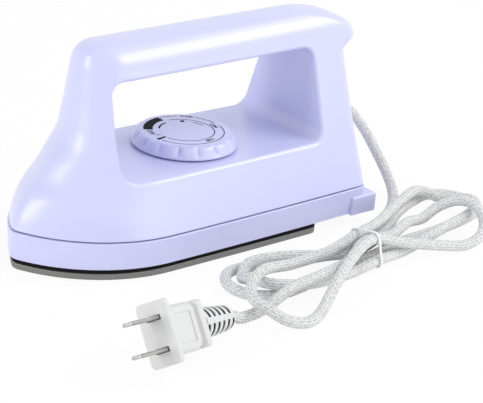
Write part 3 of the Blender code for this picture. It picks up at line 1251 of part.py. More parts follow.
def joint_ends(free, after):
    """Ends of a free stretch and a hank that meet face to face, straight for one diameter."""
    meet = free[-1]
    heading = (after - free[-2]) / np.linalg.norm(after - free[-2])
    stretch = np.vstack([free[:-1], meet - heading * LEAD_DIAMETER, meet - heading * FIT_GAP / 2])
    wound = np.vstack([meet + heading * FIT_GAP / 2, meet + heading * LEAD_DIAMETER])
    return stretch, wound


def make_tie(strands, finish):
    """Flat band round the waist of the hank: a rounded frame just outside the strands."""
    reach = LEAD_DIAMETER / 2 + FIT_GAP
    low = strands[:, 1:].min(axis=0) - reach
    high = strands[:, 1:].max(axis=0) + reach
    rings = []
    for grow in (TIE_THICKNESS, 0.0):
        size = high - low + 2 * grow
        rings.append(rounded_rectangle(size[0], size[1], LEAD_DIAMETER / 2 + grow, 5))
    middle = (low + high) / 2
    outer, inner = rings

    def across(outline, reach):
        ends = (HANK_X - reach, HANK_X + reach)
        return [np.column_stack([np.full(len(outline), x), outline + middle]) for x in ends]

    band = loft("cord_tie", across(outer, TIE_WIDTH / 2), finish)
    return boolean(band, loft("tie_hole", across(inner, TIE_WIDTH)))


def rounded_rectangle(width, height, corner, steps):
    """Counter-clockwise points of a rectangle with round corners, about its middle."""
    points = []
    for number, (x, y) in enumerate(((1, 1), (-1, 1), (-1, -1), (1, -1))):
        centre = np.array([x * (width / 2 - corner), y * (height / 2 - corner)])
        angles = np.linspace(number * math.pi / 2, (number + 1) * math.pi / 2, steps)
        points.extend(centre + corner * np.array([math.cos(a), math.sin(a)]) for a in angles)
    return np.array(points)


def plug_matrix():
    """The plug's place: its own X axis runs from the cord's entry to the blade tips."""
    turn = Euler((PLUG_ROLL, -PLUG_PITCH, PLUG_YAW), "XYZ").to_matrix().to_4x4()
    return Matrix.Translation(Vector((HANK_X, HANK_Y, 0.0)) + Vector(PLUG_PLACE)) @ turn


def plug_ring(station, width, thickness, corner):
    """A rounded-rectangle ring across the plug's own X axis."""
    outline = rounded_rectangle(width, thickness, corner, 4)
    return np.column_stack([np.full(len(outline), station), outline])


def make_plug(plastic, boot_finish, brass):
    """Two-blade plug: a ribbed boot, a collared body with a wide flange, and two blades."""
    carrier = bpy.data.objects.new("plug_place", None)
    bpy.context.scene.collection.objects.link(carrier)
    carrier.matrix_world = plug_matrix()
    pieces = []
    rings = [plug_ring(0.0, PLUG_BOOT_TIP, PLUG_BOOT_TIP, PLUG_BOOT_TIP * 0.49)]
    slot = PLUG_BOOT_LENGTH / (2 * PLUG_BOOT_RIBS + 1)
    for number in range(2 * PLUG_BOOT_RIBS + 1):
        along = (number + 0.5) / (2 * PLUG_BOOT_RIBS + 1)
        size = PLUG_BOOT_TIP + (PLUG_BOOT_ROOT - PLUG_BOOT_TIP) * along
        size -= PLUG_BOOT_GROOVE * 2 if number % 2 else 0.0
        for station in (number * slot + slot * 0.08, (number + 1) * slot - slot * 0.08):
            rings.append(plug_ring(station, size, size, size * 0.49))
    rings.append(plug_ring(PLUG_BOOT_LENGTH, size, size, size * 0.49))
    pieces.append(loft("plug_boot", rings, boot_finish))
    start = PLUG_BOOT_LENGTH + FIT_GAP
    collar = start + PLUG_COLLAR_LENGTH
    body = collar + PLUG_BODY_LENGTH
    front = body + PLUG_FLANGE_THICKNESS
    edge = PLUG_FLANGE_THICKNESS / 5
    rings = [
        plug_ring(
            start, PLUG_COLLAR_WIDTH - 2 * edge, PLUG_COLLAR_THICKNESS - 2 * edge, PLUG_CORNER,
        ),
        plug_ring(start + edge, PLUG_COLLAR_WIDTH, PLUG_COLLAR_THICKNESS, PLUG_CORNER),
        plug_ring(collar - edge, PLUG_COLLAR_WIDTH, PLUG_COLLAR_THICKNESS, PLUG_CORNER),
        plug_ring(
            collar, PLUG_BODY_WIDTH - 2 * PLUG_CORNER, PLUG_BODY_THICKNESS - PLUG_CORNER,
            PLUG_CORNER,
        ),
        plug_ring(collar + PLUG_CORNER * 1.6, PLUG_BODY_WIDTH, PLUG_BODY_THICKNESS, PLUG_CORNER),
        plug_ring(body, PLUG_BODY_WIDTH, PLUG_BODY_THICKNESS, PLUG_CORNER),
        plug_ring(body, PLUG_FLANGE_WIDTH - 2 * edge, PLUG_FLANGE_HEIGHT - 2 * edge, PLUG_CORNER),
        plug_ring(body + edge, PLUG_FLANGE_WIDTH, PLUG_FLANGE_HEIGHT, PLUG_CORNER),
        plug_ring(front - edge, PLUG_FLANGE_WIDTH, PLUG_FLANGE_HEIGHT, PLUG_CORNER),
        plug_ring(front, PLUG_FLANGE_WIDTH - 2 * edge, PLUG_FLANGE_HEIGHT - 2 * edge, PLUG_CORNER),
    ]
    shell = loft("plug_body", rings, plastic)
    pieces.append(shell)
    depth = PLUG_FLANGE_THICKNESS
    length = BLADE_LENGTH + depth
    for side, sign in (("near", 1), ("far", -1)):
        y = sign * BLADE_SPACING / 2
        size = (2 * (depth + FIT_GAP), BLADE_THICKNESS + 2 * FIT_GAP, BLADE_WIDTH + 2 * FIT_GAP)
        pocket = block(f"blade_pocket_{side}", size, (front, y, 0))
        pieces.append(pocket)
        boolean(shell, pocket)
        size = (length, BLADE_THICKNESS, BLADE_WIDTH)
        centre = (front - depth + length / 2, y, 0)
        blade = block(f"plug_blade_{side}", size, centre, brass, BLADE_BEVEL)
        pieces.append(blade)
        ends = [(BLADE_HOLE_RADIUS, -BLADE_THICKNESS), (BLADE_HOLE_RADIUS, BLADE_THICKNESS)]
        hole = turned(f"blade_hole_{side}", ends, 16)
        place(hole, (front + BLADE_HOLE_DISTANCE, y, 0), QUARTER_TURN_X)
        pieces.append(hole)
        boolean(blade, hole)
    for piece in pieces:
        piece.parent = carrier
    return pieces


def build():
    """Make every piece of the iron."""
    clear_scene()
    lilac = material("lilac_plastic", (0.70, 0.71, 0.97), 0.25)
    aluminium = material("grey_sole_coating", (0.22, 0.22, 0.21), 0.35, 0.6)
    black = material("black_gasket", (0.012, 0.012, 0.014), 0.6)
    steel = material("plain_steel", (0.55, 0.55, 0.57), 0.3, 1.0)
    brass = material("plain_brass", (0.75, 0.6, 0.3), 0.3, 1.0)
    nickel = material("nickel_blade", (0.7, 0.69, 0.67), 0.25, 1.0)
    ceramic = material("white_ceramic", (0.85, 0.84, 0.8), 0.5)
    rubber = material("grey_rubber", (0.25, 0.25, 0.3), 0.8)
    element = material("element_sheath", (0.3, 0.29, 0.28), 0.5, 0.9)
    live = material("brown_core", (0.2, 0.07, 0.03), 0.5)
    neutral = material("blue_core", (0.03, 0.1, 0.4), 0.5)
    sleeve = material("glass_sleeve", (0.8, 0.78, 0.7), 0.9)
    white = material("white_plastic", (0.8, 0.8, 0.8), 0.4)
    braid = material("white_braid", (0.75, 0.75, 0.75), 0.85)
    tie = material("white_tie", (0.85, 0.85, 0.85), 0.4)
    make_soleplate(aluminium)
    make_gasket(black)
    make_skirt(lilac)
    make_heel_pads(rubber)
    make_housing(lilac)
    make_dial(lilac)
    make_shaft(steel)
    make_clip(steel)
    make_thermostat(ceramic, steel, brass)
    make_element(element, nickel)
    make_shield(steel)
    make_wiring(ceramic, brass, live, neutral, sleeve)
    make_screws(steel)
    make_boot(white)
    make_cores(live, neutral, white)
    make_cord(braid, tie)
    make_plug(white, white, nickel)


build()
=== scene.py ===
# %% [markdown]
# A small craft iron in pale lavender plastic, with its braided cord tied in a hank beside it and
# a flat two-blade plug at the end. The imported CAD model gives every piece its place. This
# script builds finer surfaces over it, gives each one a finish, and sets up the camera and light.

# %% Load the frame
import math

import bmesh
import bpy
import numpy as np
from mathutils import Euler, Matrix, Vector


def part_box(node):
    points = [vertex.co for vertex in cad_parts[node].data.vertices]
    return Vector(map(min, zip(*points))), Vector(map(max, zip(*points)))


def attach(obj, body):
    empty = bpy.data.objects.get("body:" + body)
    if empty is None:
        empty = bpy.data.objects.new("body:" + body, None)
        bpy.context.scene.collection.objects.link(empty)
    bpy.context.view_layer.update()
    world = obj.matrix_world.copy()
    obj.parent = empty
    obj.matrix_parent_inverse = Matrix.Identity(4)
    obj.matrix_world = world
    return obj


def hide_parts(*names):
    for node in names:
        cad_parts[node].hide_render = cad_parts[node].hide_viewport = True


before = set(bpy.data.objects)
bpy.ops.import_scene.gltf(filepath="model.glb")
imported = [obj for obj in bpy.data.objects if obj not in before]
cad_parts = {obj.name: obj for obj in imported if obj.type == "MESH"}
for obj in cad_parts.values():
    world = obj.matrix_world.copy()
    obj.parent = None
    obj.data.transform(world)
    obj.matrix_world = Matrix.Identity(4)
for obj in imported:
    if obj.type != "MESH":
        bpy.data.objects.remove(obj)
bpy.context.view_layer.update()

# %% [markdown]
# The camera comes first, because everything is seen through it. A camera is a place, three
# axes and a lens. It could be aimed at a target with a constraint, but the photograph is
# slightly rolled, so the three axes are worked out from azimuth, elevation and roll and written
# as the columns of a matrix. The lens follows from the focal length measured in pixels.

# %% Camera
EYE = (-0.54438, -0.65348, 0.36329)
AZIMUTH, ELEVATION, ROLL = (math.radians(angle) for angle in (-41.735, 22.245, 4.917))
FOCAL_PIXELS = 2072.0
FRAME_PIXELS = 483.0

back = Vector((
    math.sin(AZIMUTH) * math.cos(ELEVATION),
    -math.cos(AZIMUTH) * math.cos(ELEVATION),
    math.sin(ELEVATION),
))
level = Vector((math.cos(AZIMUTH), math.sin(AZIMUTH), 0.0))
upward = back.cross(level)
camera_axes = (
    level * math.cos(ROLL) + upward * math.sin(ROLL),
    upward * math.cos(ROLL) - level * math.sin(ROLL),
    back,
)
lens = bpy.data.cameras.new("view_camera")
lens.sensor_width = 36.0
lens.lens = FOCAL_PIXELS / FRAME_PIXELS * lens.sensor_width
lens.clip_start = 0.01
camera = bpy.data.objects.new("view_camera", lens)
camera.matrix_world = Matrix.Translation(EYE) @ Matrix(camera_axes).transposed().to_4x4()
bpy.context.scene.collection.objects.link(camera)
bpy.context.scene.camera = camera
bpy.context.scene.view_settings.view_transform = "Standard"
print("lens", round(lens.lens, 1), "mm")

# %% [markdown]
# Finishes are node materials. Wiring nodes by hand is slow to read, so three small classes help.
# A Signal is one output socket, and arithmetic on it adds the Math node that does that sum. A
# Wiring is the node tree of a material or of the world, and its node method adds any node from
# its type, its settings and what feeds its sockets. A Finish is the wiring of one material.
# Colours are mixed with blend, because a Math node would turn them grey.

# %% Signals and finishes
class Signal:
    """One output socket; sums on it add Math nodes to the same tree."""

    def __init__(self, wiring, socket):
        self.wiring = wiring
        self.socket = socket

    def calculate(self, operation, *others):
        """This number, and any others after it, through one Math node."""
        return self.wiring.sum(operation, self, *others)

    def __add__(self, other):
        return self.calculate("ADD", other)

    def __sub__(self, other):
        return self.calculate("SUBTRACT", other)

    def __rsub__(self, other):
        return self.wiring.sum("SUBTRACT", other, self)

    def __mul__(self, other):
        return self.calculate("MULTIPLY", other)

    def __truediv__(self, other):
        return self.calculate("DIVIDE", other)

    def __gt__(self, other):
        return self.calculate("GREATER_THAN", other)

    __radd__ = __add__
    __rmul__ = __mul__


class Wiring:
    """A node tree, and the one way to add a node to it."""

    def __init__(self, owner):
        owner.use_nodes = True
        self.tree = owner.node_tree

    def put(self, socket, value):
        """A link, a colour or a number into one socket."""
        if isinstance(value, Signal):
            self.tree.links.new(value.socket, socket)
        elif socket.type == "RGBA":
            socket.default_value = (*value, 1.0)
        else:
            socket.default_value = value

    def node(self, kind, settings=None, inputs=None, output=0):
        """Any node: its type, its settings, then what its sockets hold or are linked to."""
        made = self.tree.nodes.new(kind)
        for key, value in (settings or {}).items():
            setattr(made, key, value)
        for key, value in (inputs or {}).items():
            self.put(made.inputs[key], value)
        return Signal(self, made.outputs[output])

    def sum(self, operation, *numbers):
        """One Math node on numbers and signals, in their order."""
        return self.node("ShaderNodeMath", {"operation": operation}, dict(enumerate(numbers)))


class Finish(Wiring):
    """One node material round a Principled shader."""

    def __init__(self, name, colour, roughness, metallic=0.0, **constants):
        self.material = bpy.data.materials.new(name)
        super().__init__(self.material)
        self.shader = self.tree.nodes["Principled BSDF"]
        self.material.diffuse_color = (*colour, 1.0)
        self.feed("Base Color", colour)
        self.feed("Roughness", roughness)
        self.feed("Metallic", metallic)
        for socket, value in constants.items():
            self.feed(socket.replace("_", " "), value)

    def feed(self, socket, value):
        """A value or link into one of the Principled shader's sockets."""
        self.put(self.shader.inputs[socket], value)

    def place(self):
        """Object coordinates, in metres."""
        return self.node("ShaderNodeTexCoord", output="Object")

    def own_map(self):
        """The two numbers of the map called run, which surface() can give a piece."""
        split = self.node("ShaderNodeSeparateXYZ", None, {
            0: self.node("ShaderNodeUVMap", {"uv_map": "run"}),
        })
        return [Signal(self, outlet) for outlet in split.socket.node.outputs[:2]]

    def noise(self, vector, scale, detail=2.0, roughness=0.5):
        """Smooth noise from 0 to 1 whose blotches are about 1 / scale metres wide."""
        inputs = {"Vector": vector, "Scale": scale, "Detail": detail, "Roughness": roughness}
        return self.node("ShaderNodeTexNoise", None, inputs)

    def climb(self, number, low, high, curve="LINEAR"):
        """0 below low, 1 above high, and a climb of the named curve between them."""
        inputs = {0: number, 1: low, 2: high}
        return self.node("ShaderNodeMapRange", {"interpolation_type": curve}, inputs)

    def blend(self, share, first, second):
        """Colour between two colours, by a share from 0 to 1; a Mix node has its share at
        socket 0, its colours at 6 and 7, and gives a colour at output 2."""
        settings = {"data_type": "RGBA", "clamp_factor": True}
        return self.node("ShaderNodeMix", settings, {0: share, 6: first, 7: second}, 2)

    def raise_by(self, height, distance, strength=1.0):
        """A bump of that many metres where the height is 1."""
        inputs = {"Height": height, "Distance": distance, "Strength": strength}
        self.feed("Normal", self.node("ShaderNodeBump", None, inputs))


def shaded(colour, share):
    """A colour made lighter or darker, worked out in Python."""
    return tuple(min(1.0, value * share) for value in colour)


print("finish classes ready")

# %% [markdown]
# New pieces are surfaces computed with numpy. A grid of points has rows u and columns v, and one
# function turns any grid into a mesh: it works out all the faces as arrays and hands them over
# with foreach_set, which is far quicker than adding faces one at a time. Modifiers then do what
# a formula can't do well: Bevel rounds the edges of a box, and Boolean joins and cuts.

# %% Surfaces from grids
def surface(name, grid, wrap=True, caps=True, ring=False, run=None, sharp=40.0):
    """Mesh whose faces join (u, v), (u, v+1), (u+1, v+1), (u+1, v). wrap closes the columns,
    ring closes the rows, caps puts one face on the first and last row, and run is a UV grid
    with one more column than the points."""
    rows, columns = grid.shape[:2]
    index = np.arange(rows * columns).reshape(rows, columns)
    below = index if ring else index[:-1]
    above = np.roll(index, -1, axis=0) if ring else index[1:]
    if wrap:
        corners = (below, np.roll(below, -1, axis=1), np.roll(above, -1, axis=1), above)
    else:
        corners = (below[:, :-1], below[:, 1:], above[:, 1:], above[:, :-1])
    quads = np.stack(corners, axis=-1).reshape(-1, 4)
    loops = [quads.ravel()]
    starts = [np.arange(len(quads)) * 4]
    if caps and not ring:
        loops += [index[0, ::-1], index[-1]]
        starts.append(len(quads) * 4 + np.array([0, columns]))
    loops = np.concatenate(loops)
    starts = np.concatenate(starts)
    mesh = bpy.data.meshes.new(name)
    mesh.vertices.add(index.size)
    mesh.vertices.foreach_set("co", grid.reshape(-1).astype(np.float32))
    mesh.loops.add(len(loops))
    mesh.loops.foreach_set("vertex_index", loops.astype(np.int32))
    mesh.polygons.add(len(starts))
    mesh.polygons.foreach_set("loop_start", starts.astype(np.int32))
    mesh.update(calc_edges=True)
    if run is not None:
        low, high = run[:-1], run[1:]
        per_quad = np.stack([low[:, :-1], low[:, 1:], high[:, 1:], high[:, :-1]], axis=2)
        ends = [np.tile(run[end, 0], (columns, 1)) for end in (0, -1)] if caps else []
        values = np.vstack([per_quad.reshape(-1, 2), *ends])
        mesh.uv_layers.new(name="run").data.foreach_set("uv", values.ravel().astype(np.float32))
    mesh.validate()
    mesh.shade_smooth()
    mesh.set_sharp_from_angle(angle=math.radians(sharp))
    piece = bpy.data.objects.new(name, mesh)
    bpy.context.scene.collection.objects.link(piece)
    return piece


def turned(name, profile, sides, centre, turn=(0.0, 0.0, 0.0)):
    """Surface of revolution: x = r cos v, y = r sin v, z = h for each (r, h) of the profile,
    turned by Euler angles and then carried to a centre."""
    around = np.linspace(0.0, 2 * math.pi, sides, endpoint=False)
    radius, height = np.array(profile, dtype=float).T[:, :, None]
    grid = np.stack([
        radius * np.cos(around), radius * np.sin(around), height * np.ones(sides),
    ], axis=-1)
    return surface(name, grid @ np.array(Euler(turn).to_matrix()).T + np.array(centre))


def rounded_box(name, size, centre, edge, segments=3):
    """A box whose edges a Bevel modifier rounds."""
    corners = np.array([(-1, -1), (1, -1), (1, 1), (-1, 1)]) * 0.5
    grid = np.array([[(x, y, z) for x, y in corners] for z in (-0.5, 0.5)]) * np.array(size)
    piece = surface(name, grid + np.array(centre), sharp=180.0)
    if edge:
        soften = piece.modifiers.new("edges", "BEVEL")
        soften.width = edge
        soften.segments = segments
        baked(piece)
    return piece


def baked(piece, sharp=None):
    """The piece with its modifiers applied, shaded smooth up to a sharp angle."""
    graph = bpy.context.evaluated_depsgraph_get()
    mesh = bpy.data.meshes.new_from_object(piece.evaluated_get(graph))
    piece.modifiers.clear()
    piece.data = mesh
    if sharp is not None:
        mesh.shade_smooth()
        mesh.set_sharp_from_angle(angle=math.radians(sharp))
    return piece


def worked(piece, steps, sharp=38.0):
    """A piece cut by or joined to tools in turn; the tools are taken away afterwards."""
    for tool, operation in steps:
        change = piece.modifiers.new(tool.name, "BOOLEAN")
        change.operation = operation
        change.solver = "EXACT"
        change.object = tool
    baked(piece, sharp)
    for tool, _ in steps:
        bpy.data.objects.remove(tool, do_unlink=True)
    even = piece.modifiers.new("even_normals", "WEIGHTED_NORMAL")
    even.keep_sharp = True
    return baked(piece)


def rods(operation, radius, low, high, sides, centres, turn=(0.0, 0.0, 0.0)):
    """Steps for worked(): the same round rod at each centre, each to be joined or cut."""
    ends = [(radius, low), (radius, high)]
    return [(turned("rod", ends, sides, centre, turn), operation) for centre in centres]


def dress(piece, finish, nodes=(), body="iron"):
    """Give a piece its finish and its place on a body, and hide the CAD nodes that it stands for.
    """
    piece.data.materials.clear()
    piece.data.materials.append(finish.material)
    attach(piece, body)
    if nodes:
        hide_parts(*nodes)
    print(piece.name, len(piece.data.polygons), "faces")
    return piece


# %% [markdown]
# The cord is one braided tube from the strain relief down to the surface, through the six runs
# of the tied hank and along to the plug. It could be a curve with a round bevel, but a braid
# needs to know how far along and how far round each point is, so the tube is a grid. Its line
# runs smoothly through the same knots as the CAD lead, and each ring of points stands square
# across that line.

# %% Line of the cord
LEAD_DIAMETER = 0.0048
FLOOR_LIFT = 0.0001
RING_SPACING = 0.0012
RING_SIDES = 20
KNOT_STEPS = 16
CORD_KNOTS = np.array([
    (0.0966, 0.0000, 0.0429), (0.1002, 0.0000, 0.0397), (0.1030, -0.0007, 0.0372),
    (0.1080, -0.0023, 0.0310), (0.1120, -0.0050, 0.0238), (0.1146, -0.0092, 0.0163),
    (0.1146, -0.0158, 0.0098), (0.1112, -0.0239, 0.0050), (0.1045, -0.0315, 0.0029),
    (0.0960, -0.0381, 0.0025), (0.0865, -0.0442, 0.0025), (0.0770, -0.0501, 0.0025),
    (0.0490, -0.0626, 0.0036), (0.0329, -0.0607, 0.0025), (0.0130, -0.0557, 0.0025),
    (-0.0021, -0.0530, 0.0025), (-0.0109, -0.0527, 0.0025), (-0.0182, -0.0575, 0.0025),
    (-0.0215, -0.0657, 0.0025), (-0.0195, -0.0743, 0.0025), (-0.0129, -0.0801, 0.0025),
    (-0.0042, -0.0811, 0.0025), (0.0113, -0.0789, 0.0025), (0.0319, -0.0738, 0.0025),
    (0.0490, -0.0738, 0.0036), (0.0729, -0.0675, 0.0025), (0.1021, -0.0650, 0.0025),
    (0.1264, -0.0609, 0.0025), (0.1341, -0.0575, 0.0025), (0.1386, -0.0504, 0.0025),
    (0.1384, -0.0420, 0.0025), (0.1336, -0.0350, 0.0025), (0.1258, -0.0319, 0.0025),
    (0.1175, -0.0336, 0.0025), (0.0955, -0.0447, 0.0051), (0.0704, -0.0598, 0.0051),
    (0.0490, -0.0682, 0.0055), (0.0339, -0.0670, 0.0055), (0.0157, -0.0604, 0.0066),
    (0.0028, -0.0572, 0.0069), (-0.0061, -0.0574, 0.0064), (-0.0133, -0.0627, 0.0040),
    (-0.0160, -0.0712, 0.0077), (-0.0132, -0.0797, 0.0080), (-0.0060, -0.0850, 0.0078),
    (0.0029, -0.0851, 0.0062), (0.0158, -0.0837, 0.0045), (0.0339, -0.0801, 0.0025),
    (0.0490, -0.0794, 0.0044), (0.0719, -0.0741, 0.0025), (0.0974, -0.0706, 0.0057),
    (0.1182, -0.0666, 0.0069), (0.1262, -0.0636, 0.0080), (0.1312, -0.0567, 0.0080),
    (0.1314, -0.0482, 0.0056), (0.1268, -0.0410, 0.0040), (0.1190, -0.0375, 0.0075),
    (0.1106, -0.0391, 0.0102), (0.0910, -0.0473, 0.0106), (0.0677, -0.0590, 0.0105),
    (0.0490, -0.0654, 0.0114), (0.0275, -0.0713, 0.0103), (0.0027, -0.0744, 0.0111),
    (-0.0171, -0.0783, 0.0139), (-0.0250, -0.0817, 0.0103), (-0.0296, -0.0890, 0.0086),
    (-0.0293, -0.0975, 0.0078), (-0.0243, -0.1045, 0.0042), (-0.0163, -0.1074, 0.0025),
    (-0.0080, -0.1053, 0.0028), (0.0101, -0.0964, 0.0112), (0.0318, -0.0838, 0.0138),
    (0.0490, -0.0766, 0.0136), (0.0658, -0.0772, 0.0086), (0.0858, -0.0818, 0.0045),
    (0.1008, -0.0840, 0.0025), (0.1096, -0.0835, 0.0050), (0.1165, -0.0780, 0.0087),
    (0.1190, -0.0695, 0.0124), (0.1162, -0.0612, 0.0124), (0.1090, -0.0560, 0.0087),
    (0.1002, -0.0558, 0.0050), (0.0854, -0.0605, 0.0077), (0.0656, -0.0691, 0.0085),
    (0.0490, -0.0710, 0.0103), (0.0325, -0.0798, 0.0089), (0.0210, -0.0848, 0.0098),
    (0.0050, -0.0898, 0.0112), (-0.0105, -0.0902, 0.0094), (-0.0250, -0.0900, 0.0033),
    (-0.0365, -0.0905, 0.0025), (-0.0427, -0.0909, 0.0050), (-0.0472, -0.0922, 0.0059),
])


def hermite(start, end, leave, arrive, part):
    """Cubic from start to end: start (1+2t)(1-t)^2 + end t^2 (3-2t) plus the slopes at both
    ends, leave t (1-t)^2 and arrive t^2 (t-1)."""
    value = start * (1 + 2 * part) * (1 - part) ** 2 + end * part ** 2 * (3 - 2 * part)
    return value + leave * part * (1 - part) ** 2 + arrive * part ** 2 * (part - 1)


def smooth_line(knots, steps):
    """Cubics through knots that are spaced by the square root of the chord between them."""
    chords = np.linalg.norm(np.diff(knots, axis=0), axis=1)
    at = np.concatenate([[0.0], np.cumsum(np.sqrt(chords))])
    tangents = np.gradient(knots, at, axis=0)
    cells = np.repeat(np.arange(len(knots) - 1), steps)
    part = np.tile(np.linspace(0.0, 1.0, steps, endpoint=False), len(knots) - 1)[:, None]
    width = (at[cells + 1] - at[cells])[:, None]
    leave, arrive = width * tangents[cells], width * tangents[cells + 1]
    return np.vstack([hermite(knots[cells], knots[cells + 1], leave, arrive, part), knots[-1]])


def evenly(line, spacing):
    """Points at even spacing along a dense line, and how far along each one is."""
    run = np.concatenate([[0.0], np.cumsum(np.linalg.norm(np.diff(line, axis=0), axis=1))])
    wanted = np.linspace(0.0, run[-1], int(round(run[-1] / spacing)) + 1)
    points = np.column_stack([np.interp(wanted, run, line[:, axis]) for axis in range(3)])
    return points, wanted


dense = smooth_line(CORD_KNOTS, KNOT_STEPS)
dense[:, 2] = np.maximum(dense[:, 2], LEAD_DIAMETER / 2 + FLOOR_LIFT)
cord_line, cord_run = evenly(dense, RING_SPACING)

# %% Tube of the cord
def tube_grid(line, radius, sides):
    """Rings p + r (cos v side + sin v up), where side = tangent x Z and up = side x tangent."""
    tangent = np.gradient(line, axis=0)
    tangent /= np.linalg.norm(tangent, axis=1, keepdims=True)
    side = np.cross(tangent, (0.0, 0.0, 1.0))
    side /= np.linalg.norm(side, axis=1, keepdims=True)
    up = np.cross(side, tangent)
    around = np.linspace(0.0, -2 * math.pi, sides, endpoint=False)
    across = side[:, None] * np.cos(around)[:, None] + up[:, None] * np.sin(around)[:, None]
    return line[:, None] + radius * across


cord_turn = np.linspace(0.0, 1.0, RING_SIDES + 1)
cord_map = np.stack(np.meshgrid(cord_run, cord_turn, indexing="ij"), axis=-1)
cord = surface("braided_cord", tube_grid(cord_line, LEAD_DIAMETER / 2, RING_SIDES), run=cord_map)

# %% [markdown]
# The braid is two sets of yarns that wind round the cord in opposite directions and pass over
# and under each other. A plain stripe texture would not cross, so the pattern is worked out
# from the tube's own map: a = n v + u / p and b = n v - u / p number the yarns of the two sets,
# and where the whole parts of a and b add up to an even number the second set is on top. Each
# yarn is crowned, and where it dips low its colour gets painted shade. Between the columns of
# crossings the gaps in the braid lie in shadow, so a row of short grey dashes of painted shade
# runs along the cord at each whole value of n v, and a random share of them is fainter. About
# a third of the crossings, picked by white noise, are a little thinner and so greyer.

# %% Braid finish
YARNS = 12
BRAID_PITCH = 0.0013
BRAID_REPEAT = 997.0
# rows of painted shade dashes in the gaps of the braid, and the random share and strength of the
# fainter ones
DASH_RATE, DASH_STAGGER, DASH_GAP, DASH_LEAST = 0.45, 0.37, 0.42, 0.35
FAINT_DASH_SHARE, FAINT_DASH_LEAST = 0.35, 0.6
FLECK_FROM, FLECK_DEPTH = 0.62, 0.18
# strength of the painted shade in the gaps, and how far the bump dips there
SEAM_SHADE, SEAM_SINK = 0.85, 0.8
YARN_RISE = 0.00022
# least crown of a low yarn, and the painted shade on low yarns
CROSSING_LEAST, LOW_SHADE = 0.55, 0.84
YARN_ROUGHNESS, CROWN_SHEEN = 0.85, 0.2


def braided(name, light, dark):
    """Crossing yarns with a crown 4 t (1 - t) each and painted shade where they dip low, rows of
    painted shade dashes |2 frac(n v) - 1| ^ 4 between them, and flecks on the crossings whose
    random number is high."""
    made = Finish(name, light, 0.75)
    along, around = made.own_map()
    along, around = along / BRAID_PITCH, around * YARNS
    first, second = around + along, around - along
    first_cell, second_cell = first.calculate("FLOOR"), second.calculate("FLOOR")
    first_part, second_part = first - first_cell, second - second_cell
    first_crown = 4.0 * first_part * (1.0 - first_part)
    second_crown = 4.0 * second_part * (1.0 - second_part)
    over = (first_cell + second_cell).calculate("FLOORED_MODULO", 2.0)
    top = first_crown * over + second_crown * (1.0 - over)
    low = second_crown * over + first_crown * (1.0 - over)
    height = top * (CROSSING_LEAST + (1.0 - CROSSING_LEAST) * low)
    cell = made.node("ShaderNodeCombineXYZ", None, {
        0: first_cell.calculate("FLOORED_MODULO", float(YARNS)),
        1: second_cell.calculate("FLOORED_MODULO", BRAID_REPEAT),
    })
    chance = made.node("ShaderNodeTexWhiteNoise", {"noise_dimensions": "2D"}, {"Vector": cell})
    # painted shade: the gaps between the columns of yarns are drawn as rows of grey dashes
    gap = (2.0 * around.calculate("FRACT") - 1.0).calculate("ABSOLUTE").calculate("POWER", 4.0)
    row = (around + 0.5).calculate("FLOOR")
    dash = (DASH_RATE * along + DASH_STAGGER * row).calculate("FRACT") > DASH_GAP
    dash_strength = FAINT_DASH_LEAST + (1.0 - FAINT_DASH_LEAST) * (chance > FAINT_DASH_SHARE)
    seam = gap * (DASH_LEAST + (1.0 - DASH_LEAST) * dash) * dash_strength
    fleck = FLECK_DEPTH * (chance > FLECK_FROM)
    # painted shade in the gaps, or a random fleck, whichever is stronger
    gap_shade_and_fleck = (SEAM_SHADE * seam).calculate("MAXIMUM", fleck)
    # painted shade: a yarn's colour is darker where it dips low at a crossing
    shade = made.blend(height, shaded(light, LOW_SHADE), light)
    made.feed("Base Color", made.blend(gap_shade_and_fleck, shade, dark))
    made.feed("Roughness", YARN_ROUGHNESS - CROWN_SHEEN * height)
    made.raise_by(height - SEAM_SINK * seam, YARN_RISE)
    return made


# the light yarn colour, and the dark grey of the painted shade in the gaps and of the flecks
braid = braided("white_braid_weave", (0.96, 0.96, 0.95), (0.20, 0.20, 0.20))
print("braid of", 2 * YARNS, "yarns")

# %% [markdown]
# The floor is pale and plain. A white floor lit by lamps alone would need so much light that the
# lavender plastic would wash out, so the floor shows itself mostly white to the camera through
# the Light Path node, and takes only part of its look from real light, which keeps the shadow.
# The world does the same: white where it is seen, and dimmer where it lights the iron.

# %% Floor and world
FLOOR_REACH, FLOOR_Z = 6.0, -0.00005
WHITE_SHARE = 0.92
SKY_STRENGTH = 0.71


def shown(wiring):
    """1 for rays from the camera, and for those that a shiny or clear surface passes on."""
    total = wiring.node("ShaderNodeLightPath", output="Is Camera Ray")
    for kind in ("Is Glossy Ray", "Is Transmission Ray"):
        other = wiring.node("ShaderNodeLightPath", output=kind)
        total = total.calculate("MAXIMUM", other)
    return total


def mixed_out(wiring, share, first, second, end):
    """Two shaders mixed by a share and led to the last node of the tree."""
    mix = wiring.node("ShaderNodeMixShader", None, {0: share, 1: first, 2: second})
    wiring.put(wiring.tree.nodes[end].inputs["Surface"], mix)


floor = surface("floor", np.array([
    [(x, y, FLOOR_Z) for x in (-FLOOR_REACH, FLOOR_REACH)] for y in (-FLOOR_REACH, FLOOR_REACH)
]), wrap=False, caps=False)
paper = Finish("floor_paper", (0.94, 0.94, 0.94), 0.9)
floor.data.materials.append(paper.material)
glow = paper.node("ShaderNodeEmission", None, {"Color": (1.0, 1.0, 1.0), "Strength": 1.0})
matt = Signal(paper, paper.shader.outputs[0])
mixed_out(paper, WHITE_SHARE * shown(paper), matt, glow, "Material Output")

